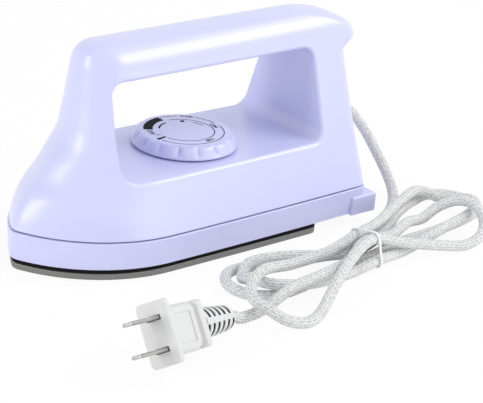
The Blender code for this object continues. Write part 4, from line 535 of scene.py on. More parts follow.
world = bpy.data.worlds.new("studio")
bpy.context.scene.world = world
sky = Wiring(world)
lit = sky.tree.nodes["Background"]
sky.put(lit.inputs["Color"], (0.97, 0.98, 1.0))
sky.put(lit.inputs["Strength"], SKY_STRENGTH)
seen = sky.node("ShaderNodeBackground", None, {"Color": (1.0, 1.0, 1.0), "Strength": 1.0})
mixed_out(sky, shown(sky), Signal(sky, lit.outputs[0]), seen, "World Output")

# %% [markdown]
# The light is that of a product booth: a soft sky, a low broad panel in front to open the
# shadows, and two smaller ones. A rolled edge that runs lengthwise mirrors what stands to the
# right and above, seen from this camera, so one panel hangs there and draws a bright line on
# every such edge, and a strip stands on the left for the nose. All together they reach about
# the level at which a colour looks as it is written.

# %% Lamps
MIDDLE = (0.0, 0.0, 0.04)
# name, power in watts, the two sides and the place in metres
PANELS = (
    ("edge_panel", 5.2, (0.75, 0.42), (0.72, -0.46, 0.90)),
    ("nose_strip", 3.0, (0.18, 0.7), (-1.0, 0.05, 0.35)),
    ("front_panel", 2.6, (1.0, 0.5), (0.40, -1.2, 0.16)),
)
for name, power, size, place in PANELS:
    lamp = bpy.data.lights.new(name, "AREA")
    lamp.shape = "RECTANGLE"
    lamp.energy = power
    lamp.size, lamp.size_y = size
    holder = bpy.data.objects.new(name, lamp)
    aim = (Vector(place) - Vector(MIDDLE)).to_track_quat("Z", "Y")
    holder.matrix_world = Matrix.Translation(place) @ aim.to_matrix().to_4x4()
    bpy.context.scene.collection.objects.link(holder)
print("floor, sky and", len(PANELS), "lamps")

# %% [markdown]
# Moulded plastic is never one flat colour. The real casing has a soft satin sheen, so its finish
# mixes two noises into the roughness, shifts the colour by a hair, and adds a very fine bump.
# Metal gets noise that is stretched one way, so that it reads as brushed lines, and the sole's
# coating gets fine light specks. An image could carry the same detail, but it would blur close
# up, while a noise stays sharp at any distance.

# %% Plastic finishes
BLOTCH_SCALE, STAIN_SCALE, SPECK_SCALE, WEAR_SCALE = 38.0, 60.0, 3200.0, 30.0


def moulded(name, colour, roughness, grain, depth, mottle, **constants):
    """Satin plastic: broad mottling in the colour, fine grain in roughness and height. Its
    mottled colour is kept as a signal, for a finish that adds to it."""
    made = Finish(name, colour, roughness, **constants)
    broad = made.noise(made.place(), BLOTCH_SCALE, 3.0)
    fine = made.noise(made.place(), grain)
    made.mottled = made.blend(broad, shaded(colour, 1.0 - mottle), shaded(colour, 1.0 + mottle))
    made.feed("Base Color", made.mottled)
    made.feed("Roughness", roughness + 0.08 * (broad - 0.5) + 0.10 * (fine - 0.5))
    made.raise_by(fine, depth, 0.6)
    return made


# colour, roughness, grain per metre, depth in metres, mottling, then the shader's constants
lavender = moulded(
    "lavender_satin", (0.635, 0.645, 0.92), 0.36, 2400.0, 0.000012, 0.03,
    Coat_Weight=0.55, Coat_Roughness=0.21,
)
gasket_black = moulded(
    "gasket_fibre", (0.008, 0.008, 0.009), 0.8, 900.0, 0.00004, 0.35, Specular_IOR_Level=0.1,
)
ink = moulded(
    "dial_ink", (0.010, 0.010, 0.018), 0.7, 1800.0, 0.000004, 0.2, Specular_IOR_Level=0.1,
)
pad_rubber = moulded("pad_rubber", (0.20, 0.20, 0.24), 0.8, 1500.0, 0.00003, 0.12)
plug_white = moulded("plug_vinyl", (0.72, 0.72, 0.71), 0.42, 1500.0, 0.00002, 0.02)
boot_white = moulded("boot_vinyl", (0.72, 0.72, 0.72), 0.5, 1500.0, 0.00002, 0.03)
slotted = moulded("vinyl_with_slot_shade", (0.72, 0.72, 0.72), 0.5, 1500.0, 0.00002, 0.03)
tie_white = moulded("tie_nylon", (0.85, 0.85, 0.85), 0.35, 1800.0, 0.00001, 0.02)

# %% Metal and sole finishes
def metal(name, colour, roughness, stretch, metallic=1.0):
    """Drawn or brushed metal: noise stretched along one way, so that it reads as fine lines."""
    made = Finish(name, colour, roughness, metallic)
    lines = made.node("ShaderNodeMapping", None, {"Vector": made.place(), "Scale": stretch})
    brushed = made.noise(lines, 1.0, 3.0, 0.6)
    stain = made.noise(made.place(), STAIN_SCALE, 3.0)
    made.feed("Base Color", made.blend(stain, shaded(colour, 0.88), shaded(colour, 1.06)))
    made.feed("Roughness", roughness + 0.22 * (brushed - 0.5) + 0.08 * (stain - 0.5))
    made.raise_by(brushed, 0.000008, 0.6)
    return made


def coated_sole(name, colour, speck):
    """Non-stick coating: a slight metallic sheen with fine lighter specks and faint wear."""
    made = Finish(name, colour, 0.42, 0.35)
    fine = made.noise(made.place(), SPECK_SCALE, 2.0, 0.7)
    wear = made.noise(made.place(), WEAR_SCALE, 4.0, 0.6)
    specks = made.climb(fine, 0.56, 0.70)
    tone = made.blend(wear, shaded(colour, 0.9), shaded(colour, 1.1))
    made.feed("Base Color", made.blend(0.45 * specks, tone, speck))
    made.feed("Roughness", 0.40 + 0.16 * (wear - 0.5) + 0.12 * (fine - 0.5))
    made.raise_by(fine, 0.000012, 0.5)
    return made


screw_steel = metal("screw_steel", (0.56, 0.56, 0.58), 0.32, (900.0, 900.0, 900.0))
blade_nickel = metal("blade_nickel", (0.50, 0.50, 0.49), 0.26, (300.0, 300.0, 4000.0))
sole_grey = coated_sole("sole_coating", (0.205, 0.208, 0.198), (0.42, 0.42, 0.41))
print("finishes ready")

# %% [markdown]
# The casing follows one idea in plan: a pointed arch. Its tip is a small circle, two long arcs
# swell to the full width, the sides draw in a little to the heel, and the rear corners are
# round. It could be drawn as a Bezier curve at each level, but then the levels would not match
# point for point. Each level only changes the numbers, so one function gives every ring at
# once, with the levels as rows and the way round as columns.

# %% Pointed-arch rings
BODY_LENGTH = 0.176
NOSE_X, HEEL_X = -BODY_LENGTH / 2, BODY_LENGTH / 2
WALL = 0.0024
NOSE_INSET_SHARE = 1.35
FRONT_WALL_SHARE = 1.5
HEEL_DRAW = 0.0021
RING_COUNTS = (9, 28, 34, 9)


def arch_rings(nose, full, rear, width, heel, tip, corner, height):
    """Tip circle, then an arc of radius (reach^2 / (width - tip) + tip + width) / 2 that meets
    it and is level at full, then sides width - (width - heel) t^2, then corner circles."""
    shape = np.broadcast_arrays(nose, full, rear, width, heel, tip, corner, height)
    shape = (np.atleast_1d(value)[:, None] * 1.0 for value in shape)
    nose, full, rear, width, heel, tip, corner, height = shape
    reach = full - nose - tip
    radius = (reach ** 2 / (width - tip) + tip + width) / 2
    away_x, away_y = nose + tip - full, radius - width
    distance = np.hypot(away_x, away_y)
    meet_x = full + radius * away_x / distance
    meet_y = width - radius + radius * away_y / distance
    swing = np.arctan2(meet_y, meet_x - nose - tip)
    start = np.arctan2(away_y, away_x)
    tip_t, arc_t, side_t, corner_t = (np.linspace(0.0, 1.0, n)[None, :] for n in RING_COUNTS)
    tip_a = math.pi + (swing - math.pi) * tip_t
    arc_a = start + (math.pi / 2 - start) * arc_t[:, 1:]
    turn = math.pi / 2 * (1 - corner_t[:, 1:])
    run = side_t[:, 1:]
    x = np.hstack([
        nose + tip + tip * np.cos(tip_a), full + radius * np.cos(arc_a),
        full + (rear - corner - full) * run, rear - corner + corner * np.cos(turn),
    ])
    y = np.hstack([
        tip * np.sin(tip_a), width - radius + radius * np.sin(arc_a),
        width - (width - heel) * run ** 2, heel - corner + corner * np.sin(turn),
    ])
    ring_x = np.hstack([x, x[:, :0:-1]])
    ring_y = np.hstack([-y, y[:, :0:-1]])
    return np.stack([ring_x, ring_y, np.broadcast_to(height, ring_x.shape)], axis=-1)


def arch_side(x, nose, full, rear, width, heel, tip, corner, _height):
    """The same shape's half width at stations x, from its three formulas."""
    reach = full - nose - tip
    radius = (reach ** 2 / (width - tip) + tip + width) / 2
    arc = width - radius + np.sqrt(np.maximum(radius ** 2 - (x - full) ** 2, 0.0))
    side = width - (width - heel) * ((x - full) / (rear - corner - full)) ** 2
    bend = heel - corner + np.sqrt(np.maximum(corner ** 2 - (x - rear + corner) ** 2, 0.0))
    return np.where(x < full, arc, np.where(x < rear - corner, side, bend))


def rounded_levels(low, high, edge, steps=4):
    """Heights and insets of a wall whose top and bottom edges are quarter circles: at angle a
    the level has risen edge (1 - cos a) and is drawn in by edge (1 - sin a)."""
    angles = np.linspace(0.0, math.pi / 2, steps)
    ends = edge * (1 - np.sin(angles))
    rise = edge * (1 - np.cos(angles))
    heights = np.concatenate([low + rise, high - rise[::-1]])
    return heights, np.concatenate([ends, ends[::-1]])


print("arch rings have", 2 * (sum(RING_COUNTS) - 3) - 1, "points")

# %% [markdown]
# The soleplate is the smooth plate that touches the cloth. It is a few arch rings with rounded
# edges, joined to the boss and the posts that stand on it. A flat outline with a thickness and
# a Bevel would do too, but rings let the nose and the rear draw in by different amounts. Above
# it lies a black gasket, which shows as the thin dark line all round, so the gasket is a ring
# whose outer and inner arches are joined into a closed band.

# %% Soleplate and gasket
SOLE_TOP, SOLE_EDGE = 0.0029, 0.0006
SOLE_NOSE, SOLE_REAR = NOSE_X + 0.0018, 0.054494
SOLE_FULL = SOLE_NOSE + 0.0545072
SOLE_HALF, SOLE_HEEL_HALF = 0.0364, 0.0356
SOLE_TIP, SOLE_CORNER = 0.006, 0.0045
LEAST_TIP, LEAST_CORNER = 0.003, 0.0015
STAND_BASE, BOSS_RADIUS, BOSS_TOP = 0.0016, 0.0085, 0.0068
SHIELD_POST_RADIUS, SHIELD_POST_TOP = 0.0028, 0.0109
THREAD_BASE, THREAD_TOP = 0.0013, 0.0062
GASKET_BASE, GASKET_TOP, GASKET_EDGE, GASKET_WIDTH = 0.0030, 0.0048, 0.0002, 0.0095
DIAL_X = 0.0017
SCREW_HOLE = 0.0018
CUT = 0.003
SOLE_SCREWS = [(x, y, 0.0) for x in (-0.0259952, 0.0460064) for y in (-0.0302, 0.0302)]
SHIELD_POSTS = ((-0.0450032, 0.0, 0.0), (0.022, -0.0105105, 0.0), (0.022, 0.0105105, 0.0))


def sole_rings(inset, height, rear_inset=None):
    """The soleplate's arch drawn in by an inset at each height."""
    inset = np.asarray(inset, dtype=float)
    back_inset = inset if rear_inset is None else rear_inset
    return arch_rings(
        SOLE_NOSE + inset * NOSE_INSET_SHARE, SOLE_FULL, SOLE_REAR - back_inset,
        SOLE_HALF - inset, SOLE_HEEL_HALF - inset, np.maximum(SOLE_TIP - inset, LEAST_TIP),
        np.maximum(SOLE_CORNER - inset, LEAST_CORNER), height,
    )


sole_height, sole_inset = rounded_levels(0.0, SOLE_TOP, SOLE_EDGE)
sole = worked(surface("pressing_sole", sole_rings(sole_inset, sole_height)), [
    *rods("UNION", BOSS_RADIUS, STAND_BASE, BOSS_TOP, 40, [(DIAL_X, 0.0, 0.0)]),
    *rods("UNION", SHIELD_POST_RADIUS, STAND_BASE, SHIELD_POST_TOP, 24, SHIELD_POSTS),
    *rods("DIFFERENCE", SCREW_HOLE, THREAD_BASE, THREAD_TOP, 20, SOLE_SCREWS),
])
dress(sole, sole_grey, ("soleplate",))

gasket_z = np.array([
    GASKET_BASE, GASKET_BASE + GASKET_EDGE, GASKET_TOP - GASKET_EDGE, GASKET_TOP,
])
outer = sole_rings(np.array([GASKET_EDGE, 0.0, 0.0, GASKET_EDGE]), gasket_z)
inner = sole_rings(np.full(4, GASKET_WIDTH), gasket_z[::-1])
gasket = surface("heat_gasket", np.concatenate([outer, inner]), ring=True)
holes = rods("DIFFERENCE", SCREW_HOLE, GASKET_BASE - CUT, GASKET_TOP + CUT, 20, SOLE_SCREWS)
dress(worked(gasket, holes), gasket_black, ("sole_gasket",))

# %% [markdown]
# The skirt is the lower half of the casing, a shallow tray with two square heel feet. It is the
# same arch, wider at the top than at the foot. The feet, the hollow, the window over the
# soleplate and the screw holes are tools that are joined or cut in turn, as a mould maker would.
# A plain block would look the same from above, but the underside shows when the iron is tipped.

# %% Skirt
SKIRT_BASE, SKIRT_TOP, SKIRT_EDGE, FLOOR_TOP = 0.0049, 0.01735, 0.0005, 0.0071
SKIRT_FOOT_WIDTH, SKIRT_FLARE, SKIRT_RAKE = 0.0746, 0.0024, 0.0008
SKIRT_FULL, SKIRT_REAR = NOSE_X + 0.056496, 0.0828
SKIRT_TIP, SKIRT_CORNER = 0.0068, 0.005
FOOT_SIZE, FOOT_EDGE, POCKET_SIZE = (0.0148, 0.009, 0.009), 0.0009, (0.003, 0.0068, 0.0068)
FOOT_X, FOOT_Y, FOOT_Z = 0.0802, 0.0327, 0.0089
SCREW_PAD_RADIUS, SCREW_PAD_BASE, SCREW_PAD_TOP = 0.0054, 0.006, 0.0091
HEAD_HOLE, SHOULDER_Z = 0.003, 0.0068
WINDOW_INSET, WINDOW_REAR_INSET = 0.0115, 0.010
RUBBER_SIZE, RUBBER_X, RUBBER_EDGE = (0.0012, 0.0062, 0.0062), 0.0874, 0.0003
CASE_SCREWS = [(0.070998, y, 0.0) for y in (-0.024001, 0.024001)]
SIDES = (("right", -1), ("left", 1))


def skirt_rings(inset, height):
    """The skirt's arch at each height, drawn in by an inset; it flares and its nose leans
    forwards from base to top."""
    inset, height = np.broadcast_arrays(np.asarray(inset, dtype=float), height)
    share = np.clip((height - SKIRT_BASE) / (SKIRT_TOP - SKIRT_BASE), 0.0, 1.0)
    half = (SKIRT_FOOT_WIDTH + SKIRT_FLARE * share) / 2
    nose = NOSE_X + SKIRT_RAKE * (1 - share)
    return arch_rings(
        nose + inset * NOSE_INSET_SHARE, SKIRT_FULL, SKIRT_REAR - inset, half - inset,
        half - HEEL_DRAW - inset, SKIRT_TIP - inset / 2, SKIRT_CORNER - inset / 2, height,
    )


skirt_height, skirt_inset = rounded_levels(SKIRT_BASE, SKIRT_TOP, SKIRT_EDGE)
skirt = surface("skirt_tray", skirt_rings(skirt_inset, skirt_height))
skirt_steps = []
for _, sign in SIDES:
    foot = rounded_box("heel_foot", FOOT_SIZE, (FOOT_X, sign * FOOT_Y, FOOT_Z), FOOT_EDGE, 4)
    pocket = rounded_box("heel_pocket", POCKET_SIZE, (HEEL_X, sign * FOOT_Y, FOOT_Z), 0.0)
    skirt_steps += [(foot, "UNION"), (pocket, "DIFFERENCE")]
hollow = [skirt_rings(WALL, z) for z in (FLOOR_TOP, SKIRT_TOP + CUT)]
skirt_steps.append((surface("skirt_hollow", np.concatenate(hollow)), "DIFFERENCE"))
skirt_steps += rods("UNION", SCREW_PAD_RADIUS, SCREW_PAD_BASE, SCREW_PAD_TOP, 32, CASE_SCREWS)
below, above = SKIRT_BASE - CUT, SKIRT_TOP + CUT
window = [sole_rings(WINDOW_INSET, z, WINDOW_REAR_INSET) for z in (below, above)]
skirt_steps.append((surface("skirt_window", np.concatenate(window)), "DIFFERENCE"))
skirt_steps += rods("DIFFERENCE", SCREW_HOLE, below, above, 20, SOLE_SCREWS)
bore = [(HEAD_HOLE, below), (HEAD_HOLE, SHOULDER_Z), (SCREW_HOLE, SHOULDER_Z), (SCREW_HOLE, above)]
skirt_steps += [(turned("counterbore", bore, 28, spot), "DIFFERENCE") for spot in CASE_SCREWS]
dress(worked(skirt, skirt_steps), lavender, ("lower_skirt",))

for side, sign in SIDES:
    spot = (RUBBER_X, sign * FOOT_Y, FOOT_Z)
    pad = rounded_box("heel_rubber_" + side, RUBBER_SIZE, spot, RUBBER_EDGE)
    dress(pad, pad_rubber, ("heel_pad_" + side,))

# %% [markdown]
# The screws under the heel are pan heads with a cross recess. A turned profile gives the head
# and shank, and two crossed blades cut the recess. A bump could only hint at it, and the recess
# is deep.

# %% Housing screws
HEAD_LOW, HEAD_TOP, SHANK_TOP = 0.0049, 0.0065, 0.0184
SCREW_PROFILE = (
    (0.0016, HEAD_LOW), (0.0021, HEAD_LOW + 0.00015), (0.0025, HEAD_LOW + 0.00045),
    (0.0027, HEAD_LOW + 0.0008), (0.0027, HEAD_TOP), (0.0015, HEAD_TOP), (0.0015, SHANK_TOP),
)
RECESS_SIZES = ((0.0028, 0.0006, 0.0018), (0.0006, 0.0028, 0.0018))
for (side, _), spot in zip(SIDES, CASE_SCREWS):
    screw = turned("case_screw_" + side, SCREW_PROFILE, 40, spot)
    at_head = (*spot[:2], HEAD_LOW)
    cross = [(rounded_box("recess", size, at_head, 0.0), "DIFFERENCE") for size in RECESS_SIZES]
    dress(worked(screw, cross), screw_steel, ("housing_screw_" + side,))

# %% [markdown]
# The upper housing, the deck, the posts and the looped handle are one moulding. It could be
# built from a subdivision surface, but its section changes in a known way with height, so
# tables give the nose, the rear wall and the half width as shares, and a smooth curve through
# each table gives any level in between. The many thin levels near the top round the handle.

# %% Housing tables
HOUSING_BASE, HOUSING_HEIGHT = 0.01785, 0.07725
HOUSING_HALF, HOUSING_CORNER = 0.038, 0.008
FRONT_RAKE, REAR_RAKE = 0.0400048, 0.030008
NOSE_PROFILE = (
    (0.0, 0.02), (0.105, 0.08), (0.196, 0.19), (0.254, 0.30), (0.359, 0.45), (0.474, 0.61),
    (0.597, 0.668), (0.81, 0.713), (0.929, 0.748), (0.968, 0.80), (0.99, 0.878), (1.0, 1.0),
)
WIDTH_PROFILE = (
    (0.0, 1.0), (0.30, 0.784), (0.474, 0.668), (0.817, 0.442), (0.88, 0.405), (0.929, 0.347),
    (0.968, 0.263), (0.99, 0.179), (1.0, 0.084),
)
REAR_PROFILE = (
    (0.0, 0.127), (0.38, 0.19), (0.765, 0.233), (0.80, 0.113), (0.828, 0.013), (0.845, 0.0),
    (0.88, 0.027), (0.929, 0.173), (0.95, 0.30), (0.968, 0.45), (0.98, 0.60), (0.99, 0.783),
    (1.0, 1.0),
)
NOSE_FULLNESS = ((0.0, 1.45), (0.3, 1.3), (0.6, 1.08), (1.0, 1.06))
NOSE_TIP = ((0.0, 0.17), (0.3, 0.3), (0.6, 0.5), (1.0, 0.5))


def read(table, where):
    """Cubic through (position, value) pairs whose slope at each pair is the mean of its two
    neighbours, held to three times the smaller and level where the values turn."""
    spots, values = np.array(table).T
    steps = np.diff(spots)
    rises = np.diff(values) / steps
    slopes = np.concatenate([rises[:1], (rises[:-1] + rises[1:]) / 2, rises[-1:]])
    slopes[1:-1][rises[:-1] * rises[1:] <= 0] = 0.0
    after, before = np.append(rises, rises[-1]), np.insert(rises, 0, rises[0])
    limit = 3 * np.minimum(np.abs(after), np.abs(before))
    slopes = np.sign(slopes) * np.minimum(np.abs(slopes), limit)
    cell = np.clip(np.searchsorted(spots, where) - 1, 0, len(steps) - 1)
    part = (where - spots[cell]) / steps[cell]
    leave, arrive = steps[cell] * slopes[cell], steps[cell] * slopes[cell + 1]
    return hermite(values[cell], values[cell + 1], leave, arrive, part)


def housing_shape(share, inset=0.0):
    """Every number of the housing's arch at each share of its height."""
    share = np.asarray(share, dtype=float)
    nose = NOSE_X + FRONT_RAKE * read(NOSE_PROFILE, share)
    rear = HEEL_X - REAR_RAKE * read(REAR_PROFILE, share)
    width = HOUSING_HALF * read(WIDTH_PROFILE, share)
    full = nose + width * read(NOSE_FULLNESS, share)
    tip = width * read(NOSE_TIP, share)
    corner = np.minimum(HOUSING_CORNER, width * 0.8)
    heel = width * (1 - HEEL_DRAW / HOUSING_HALF)
    return (
        nose + inset * FRONT_WALL_SHARE, full, rear - inset, width - inset, heel - inset,
        np.maximum(tip - inset, tip / 2), np.maximum(corner - inset, corner / 2),
        HOUSING_BASE + HOUSING_HEIGHT * share,
    )


# shares of the height: three for the foot's broken edge, then the body, and closer levels for
# the grip and for its crown
levels = np.concatenate([
    [0.0, 0.0018, 0.0048], np.linspace(0.0, 0.74, 46)[1:], np.linspace(0.75, 0.92, 34),
    1.0 - 0.075 * np.linspace(1.0, 0.0, 26) ** 2,
])
draw_in = np.concatenate([[0.0004, 0.00012], np.zeros(len(levels) - 2)])
housing_grid = arch_rings(*housing_shape(levels, draw_in))
print("housing grid", housing_grid.shape[:2])

# %% [markdown]
# The hand opening is a slot through the handle with a soft lip on both sides. A plain cut would
# leave a sharp edge, and a bevel of that edge fails where the wall curves. So the cutting tool
# itself is flared: each of its rings follows the side wall, and the last ones grow and come out
# of the wall along a quarter circle, which the cut leaves behind as the rounded lip.

# %% Hand opening
DECK_Z, DECK_UNDERSIDE = 0.0405, 0.0379
OPENING_FRONT, OPENING_REAR = -0.050494, 0.059013
OPENING_SHARE = 0.5243
OPENING_TOP = DECK_Z + HOUSING_HEIGHT * OPENING_SHARE
OPENING_CORNER, OPENING_ROLL, OPENING_STEP = 0.0055, 0.0018, 0.0035
OPENING_OUTSIDE = -5 * CUT
ROLL_ANGLES = np.radians([0.0, 15.0, 30.0, 45.0, 60.0, 72.0, 82.0])
CORNER_POINTS = 9


def opening_outline():
    """The slot's outline seen from the side, and its outward normals: four corner arcs with
    evenly spaced points between them."""
    corners = (
        (OPENING_FRONT, DECK_Z, 1, 1), (OPENING_REAR, DECK_Z, -1, 1),
        (OPENING_REAR, OPENING_TOP, -1, -1), (OPENING_FRONT, OPENING_TOP, 1, -1),
    )
    spots, normals = [], []
    for number, (x, z, inward, rising) in enumerate(corners):
        angles = math.pi + (number + np.linspace(0.0, 1.0, CORNER_POINTS)) * math.pi / 2
        normal = np.column_stack([np.cos(angles), np.sin(angles)])
        middle = np.array([x + inward * OPENING_CORNER, z + rising * OPENING_CORNER])
        spots.append(middle + OPENING_CORNER * normal)
        normals.append(normal)
    filled, facing = [], []
    for number, (spot, normal) in enumerate(zip(spots, normals)):
        after = spots[(number + 1) % 4][0]
        pieces = max(2, int(np.linalg.norm(after - spot[-1]) / OPENING_STEP))
        part = np.linspace(0.0, 1.0, pieces, endpoint=False)[1:, None]
        filled += [spot, spot[-1] + (after - spot[-1]) * part]
        facing += [normal, np.repeat(normal[-1:], len(part), axis=0)]
    return np.vstack(filled), np.vstack(facing)


def opening_rings():
    """The outline carried through the handle. At roll angle a it has grown by roll (1 - cos a)
    and lies roll (1 - sin a) inside the side wall, and its last ring is far outside."""
    spot, normal = (values[None] for values in opening_outline())
    growth = np.append(OPENING_ROLL * (1 - np.cos(ROLL_ANGLES)), OPENING_ROLL)[:, None]
    depth = np.append(OPENING_ROLL * (1 - np.sin(ROLL_ANGLES)), OPENING_OUTSIDE)[:, None]
    x = spot[..., 0] + normal[..., 0] * growth
    z = spot[..., 1] + normal[..., 1] * growth
    share = np.clip((z - HOUSING_BASE) / HOUSING_HEIGHT, 0.0, 1.0)
    half = arch_side(np.broadcast_to(spot[..., 0], z.shape), *housing_shape(share)) - depth
    near = np.stack([x, -half, z], axis=-1)[::-1]
    far = np.stack([x, half, z], axis=-1)
    return np.concatenate([near, far])[:, ::-1]


opening = surface("hand_opening", opening_rings())
print("opening tool", len(opening.data.vertices), "points")

# %% Housing
POST_FRONT, POST_REAR, POST_TOP, POST_WIDTH = 0.063013, 0.0788275, 0.070001, 0.017
POST_OVERLAP = 0.0026
SCREW_BOSS_RADIUS, SCREW_BOSS_BASE, SCREW_BOSS_TOP = 0.004, 0.0094, 0.0392
SCREW_HOLE_BASE, SCREW_HOLE_TOP = 0.0061, 0.0187
CLAMP_Y, CLAMP_Z, CLAMP_BOSS_RADIUS, CLAMP_BASE = 0.00525, 0.0385, 0.0025, -0.002
CLAMP_X, CLAMP_CLEAR, CLAMP_HALF, CLAMP_BORE = 0.07352, 0.0003, 0.0013, 0.0015
CLAMP_FACE = CLAMP_X - CLAMP_CLEAR - CLAMP_HALF - POST_FRONT
SHAFT_HOLE, EXIT_Z, EXIT_HOLE, EXIT_DEPTH = 0.0033, 0.0485, 0.0049, 0.0068
QUARTER = (0.0, math.pi / 2, 0.0)

deck_share = (DECK_UNDERSIDE - HOUSING_BASE) / HOUSING_HEIGHT
inside = arch_rings(*housing_shape(deck_share * np.linspace(0.0, 1.0, 9), WALL))
foot_ring = inside[:1] - np.array([0.0, 0.0, CUT])
housing_steps = [
    (surface("housing_hollow", np.concatenate([foot_ring, inside])), "DIFFERENCE"),
    (opening, "DIFFERENCE"),
    *rods("UNION", SCREW_BOSS_RADIUS, SCREW_BOSS_BASE, SCREW_BOSS_TOP, 28, CASE_SCREWS),
    *rods("DIFFERENCE", SCREW_HOLE, SCREW_HOLE_BASE, SCREW_HOLE_TOP, 20, CASE_SCREWS),
]
post_size = (POST_REAR - POST_FRONT, POST_WIDTH, POST_TOP - DECK_UNDERSIDE + POST_OVERLAP)
post_centre = ((POST_FRONT + POST_REAR) / 2, 0.0, POST_TOP - post_size[2] / 2)
clamp_spots = [(POST_FRONT, sign * CLAMP_Y, CLAMP_Z) for sign in (-1, 1)]
clamp_bottom = CLAMP_FACE + CLAMP_BORE
shaft_ends, dial_axis = (DECK_UNDERSIDE - CUT, DECK_Z + CUT), [(DIAL_X, 0.0, 0.0)]
exit_spot = [(POST_REAR, 0.0, EXIT_Z)]
housing_steps += [
    (rounded_box("post_hollow", post_size, post_centre, 0.0), "DIFFERENCE"),
    *rods("UNION", CLAMP_BOSS_RADIUS, CLAMP_BASE, CLAMP_FACE, 20, clamp_spots, QUARTER),
    *rods("DIFFERENCE", SCREW_HOLE, CLAMP_BASE, clamp_bottom, 20, clamp_spots, QUARTER),
    *rods("DIFFERENCE", SHAFT_HOLE, *shaft_ends, 32, dial_axis),
    *rods("DIFFERENCE", EXIT_HOLE, -CUT, EXIT_DEPTH, 32, exit_spot, QUARTER),
]
housing = worked(surface("handle_housing", housing_grid), housing_steps)
dress(housing, lavender, ("upper_housing",))

# %% [markdown]
# The thermostat dial is a low knob. Its side draws in from a plain rim to a flat face, and
# sixteen shallow notches run down the side for the thumb. A turned profile cannot have notches,
# so each ring's radius is lowered by depth times (1 - |sin 8v|) to the power 1.8, which is zero
# between notches and a narrow crease at each one.

# %% Dial
DIAL_BASE, SOCKET_DEPTH = 0.0411, 0.0038
DIAL_RADIUS, DIAL_HEIGHT, DIAL_RIM, DIAL_SLOPE = 0.0235, 0.0055, 0.0009, 0.0036
NOTCHES, NOTCH_DEPTH, NOTCH_POWER, NOTCH_COLUMNS = 16, 0.0012, 1.8, 20
EDGE_OUT, EDGE_DOWN, EDGE_IN, BORE_RADIUS = 0.0001, 0.0002, 0.0006, 0.005
FACE_Z = DIAL_BASE + DIAL_HEIGHT
DRAW_TABLE = ((0.0, 0.0), (0.14, 0.08), (0.4, 0.22), (0.68, 0.42), (0.9, 0.7), (1.0, 1.0))
LOBE_TABLE = ((0.0, 0.0), (0.14, 0.6), (0.4, 1.0), (0.68, 1.0), (0.9, 0.6), (1.0, 0.0))

rise = np.linspace(0.0, 1.0, 18)[1:]
side = np.column_stack([
    DIAL_RADIUS - DIAL_SLOPE * read(DRAW_TABLE, rise),
    DIAL_RIM + (DIAL_HEIGHT - DIAL_RIM) * rise,
    read(LOBE_TABLE, rise),
])
# the edge of the face is broken: its outer ring lies a little lower, its inner one farther in
side[-1] += (EDGE_OUT, -EDGE_DOWN, 0.0)
# radius, height above the dial's base and depth of the notches: under the rim, then the face
under = np.array([
    (BORE_RADIUS, 0.0, 0.0), (BORE_RADIUS, 0.003, 0.0), (DIAL_RADIUS - 0.0044, 0.003, 0.0),
    (DIAL_RADIUS - 0.0022, 0.0, 0.0), (DIAL_RADIUS - 0.0003, 0.0, 0.0),
    (DIAL_RADIUS - 0.00009, 0.00009, 0.0), (DIAL_RADIUS, 0.0003, 0.0), (DIAL_RADIUS, DIAL_RIM, 0.0),
])
face = np.array([
    (DIAL_RADIUS - DIAL_SLOPE - EDGE_IN, DIAL_HEIGHT, 0.0), (BORE_RADIUS, DIAL_HEIGHT, 0.0),
])
knob_radius, knob_height, knob_lobed = np.vstack([under, side, face]).T[:, :, None]
knob_angle = np.linspace(0.0, 2 * math.pi, NOTCHES * NOTCH_COLUMNS, endpoint=False)
notch = (1.0 - np.abs(np.sin(knob_angle * NOTCHES / 2))) ** NOTCH_POWER
reach = knob_radius - NOTCH_DEPTH * notch * knob_lobed
knob_grid = np.stack([
    DIAL_X + reach * np.cos(knob_angle), reach * np.sin(knob_angle),
    DIAL_BASE + knob_height + 0.0 * knob_angle,
], axis=-1)
socket = rods("DIFFERENCE", SHAFT_HOLE, DIAL_BASE - CUT, DIAL_BASE + SOCKET_DEPTH, 32, dial_axis)
knob = worked(surface("heat_dial", knob_grid), socket, sharp=50.0)
dress(knob, lavender, ("dial_knob",), "dial")

# %% [markdown]
# The scale is printed on the face: two rings, a thick block for the hottest setting, a bar at
# the off position and a few words. A painted texture would blur when the model is exported, so
# each mark is a film a few hundredths of a millimetre thick that stands on the face.

# %% Printed marks
INK_LOW, INK_HIGH, LETTER_GROWTH = FACE_Z - 0.00003, FACE_Z + 0.00003, 0.00004
ARC_STEP = 3.0


def printed_arc(inner, outer, start, end):
    """A flat strip round the dial's axis: x = r cos a, y = r sin a, between two radii."""
    whole = end - start >= 360.0
    steps = max(2, int((end - start) / ARC_STEP)) + (0 if whole else 1)
    angle = np.radians(np.linspace(start, end, steps, endpoint=not whole))[:, None]
    radius = np.array([inner, inner, outer, outer])
    height = np.array([INK_LOW, INK_HIGH, INK_HIGH, INK_LOW]) + 0.0 * angle
    grid = np.stack([DIAL_X + radius * np.cos(angle), radius * np.sin(angle), height], axis=-1)
    return surface("mark", grid, ring=whole, caps=not whole, sharp=30.0)


def linked(name, mesh):
    """A mesh as an object in the scene."""
    piece = bpy.data.objects.new(name, mesh)
    bpy.context.scene.collection.objects.link(piece)
    return piece


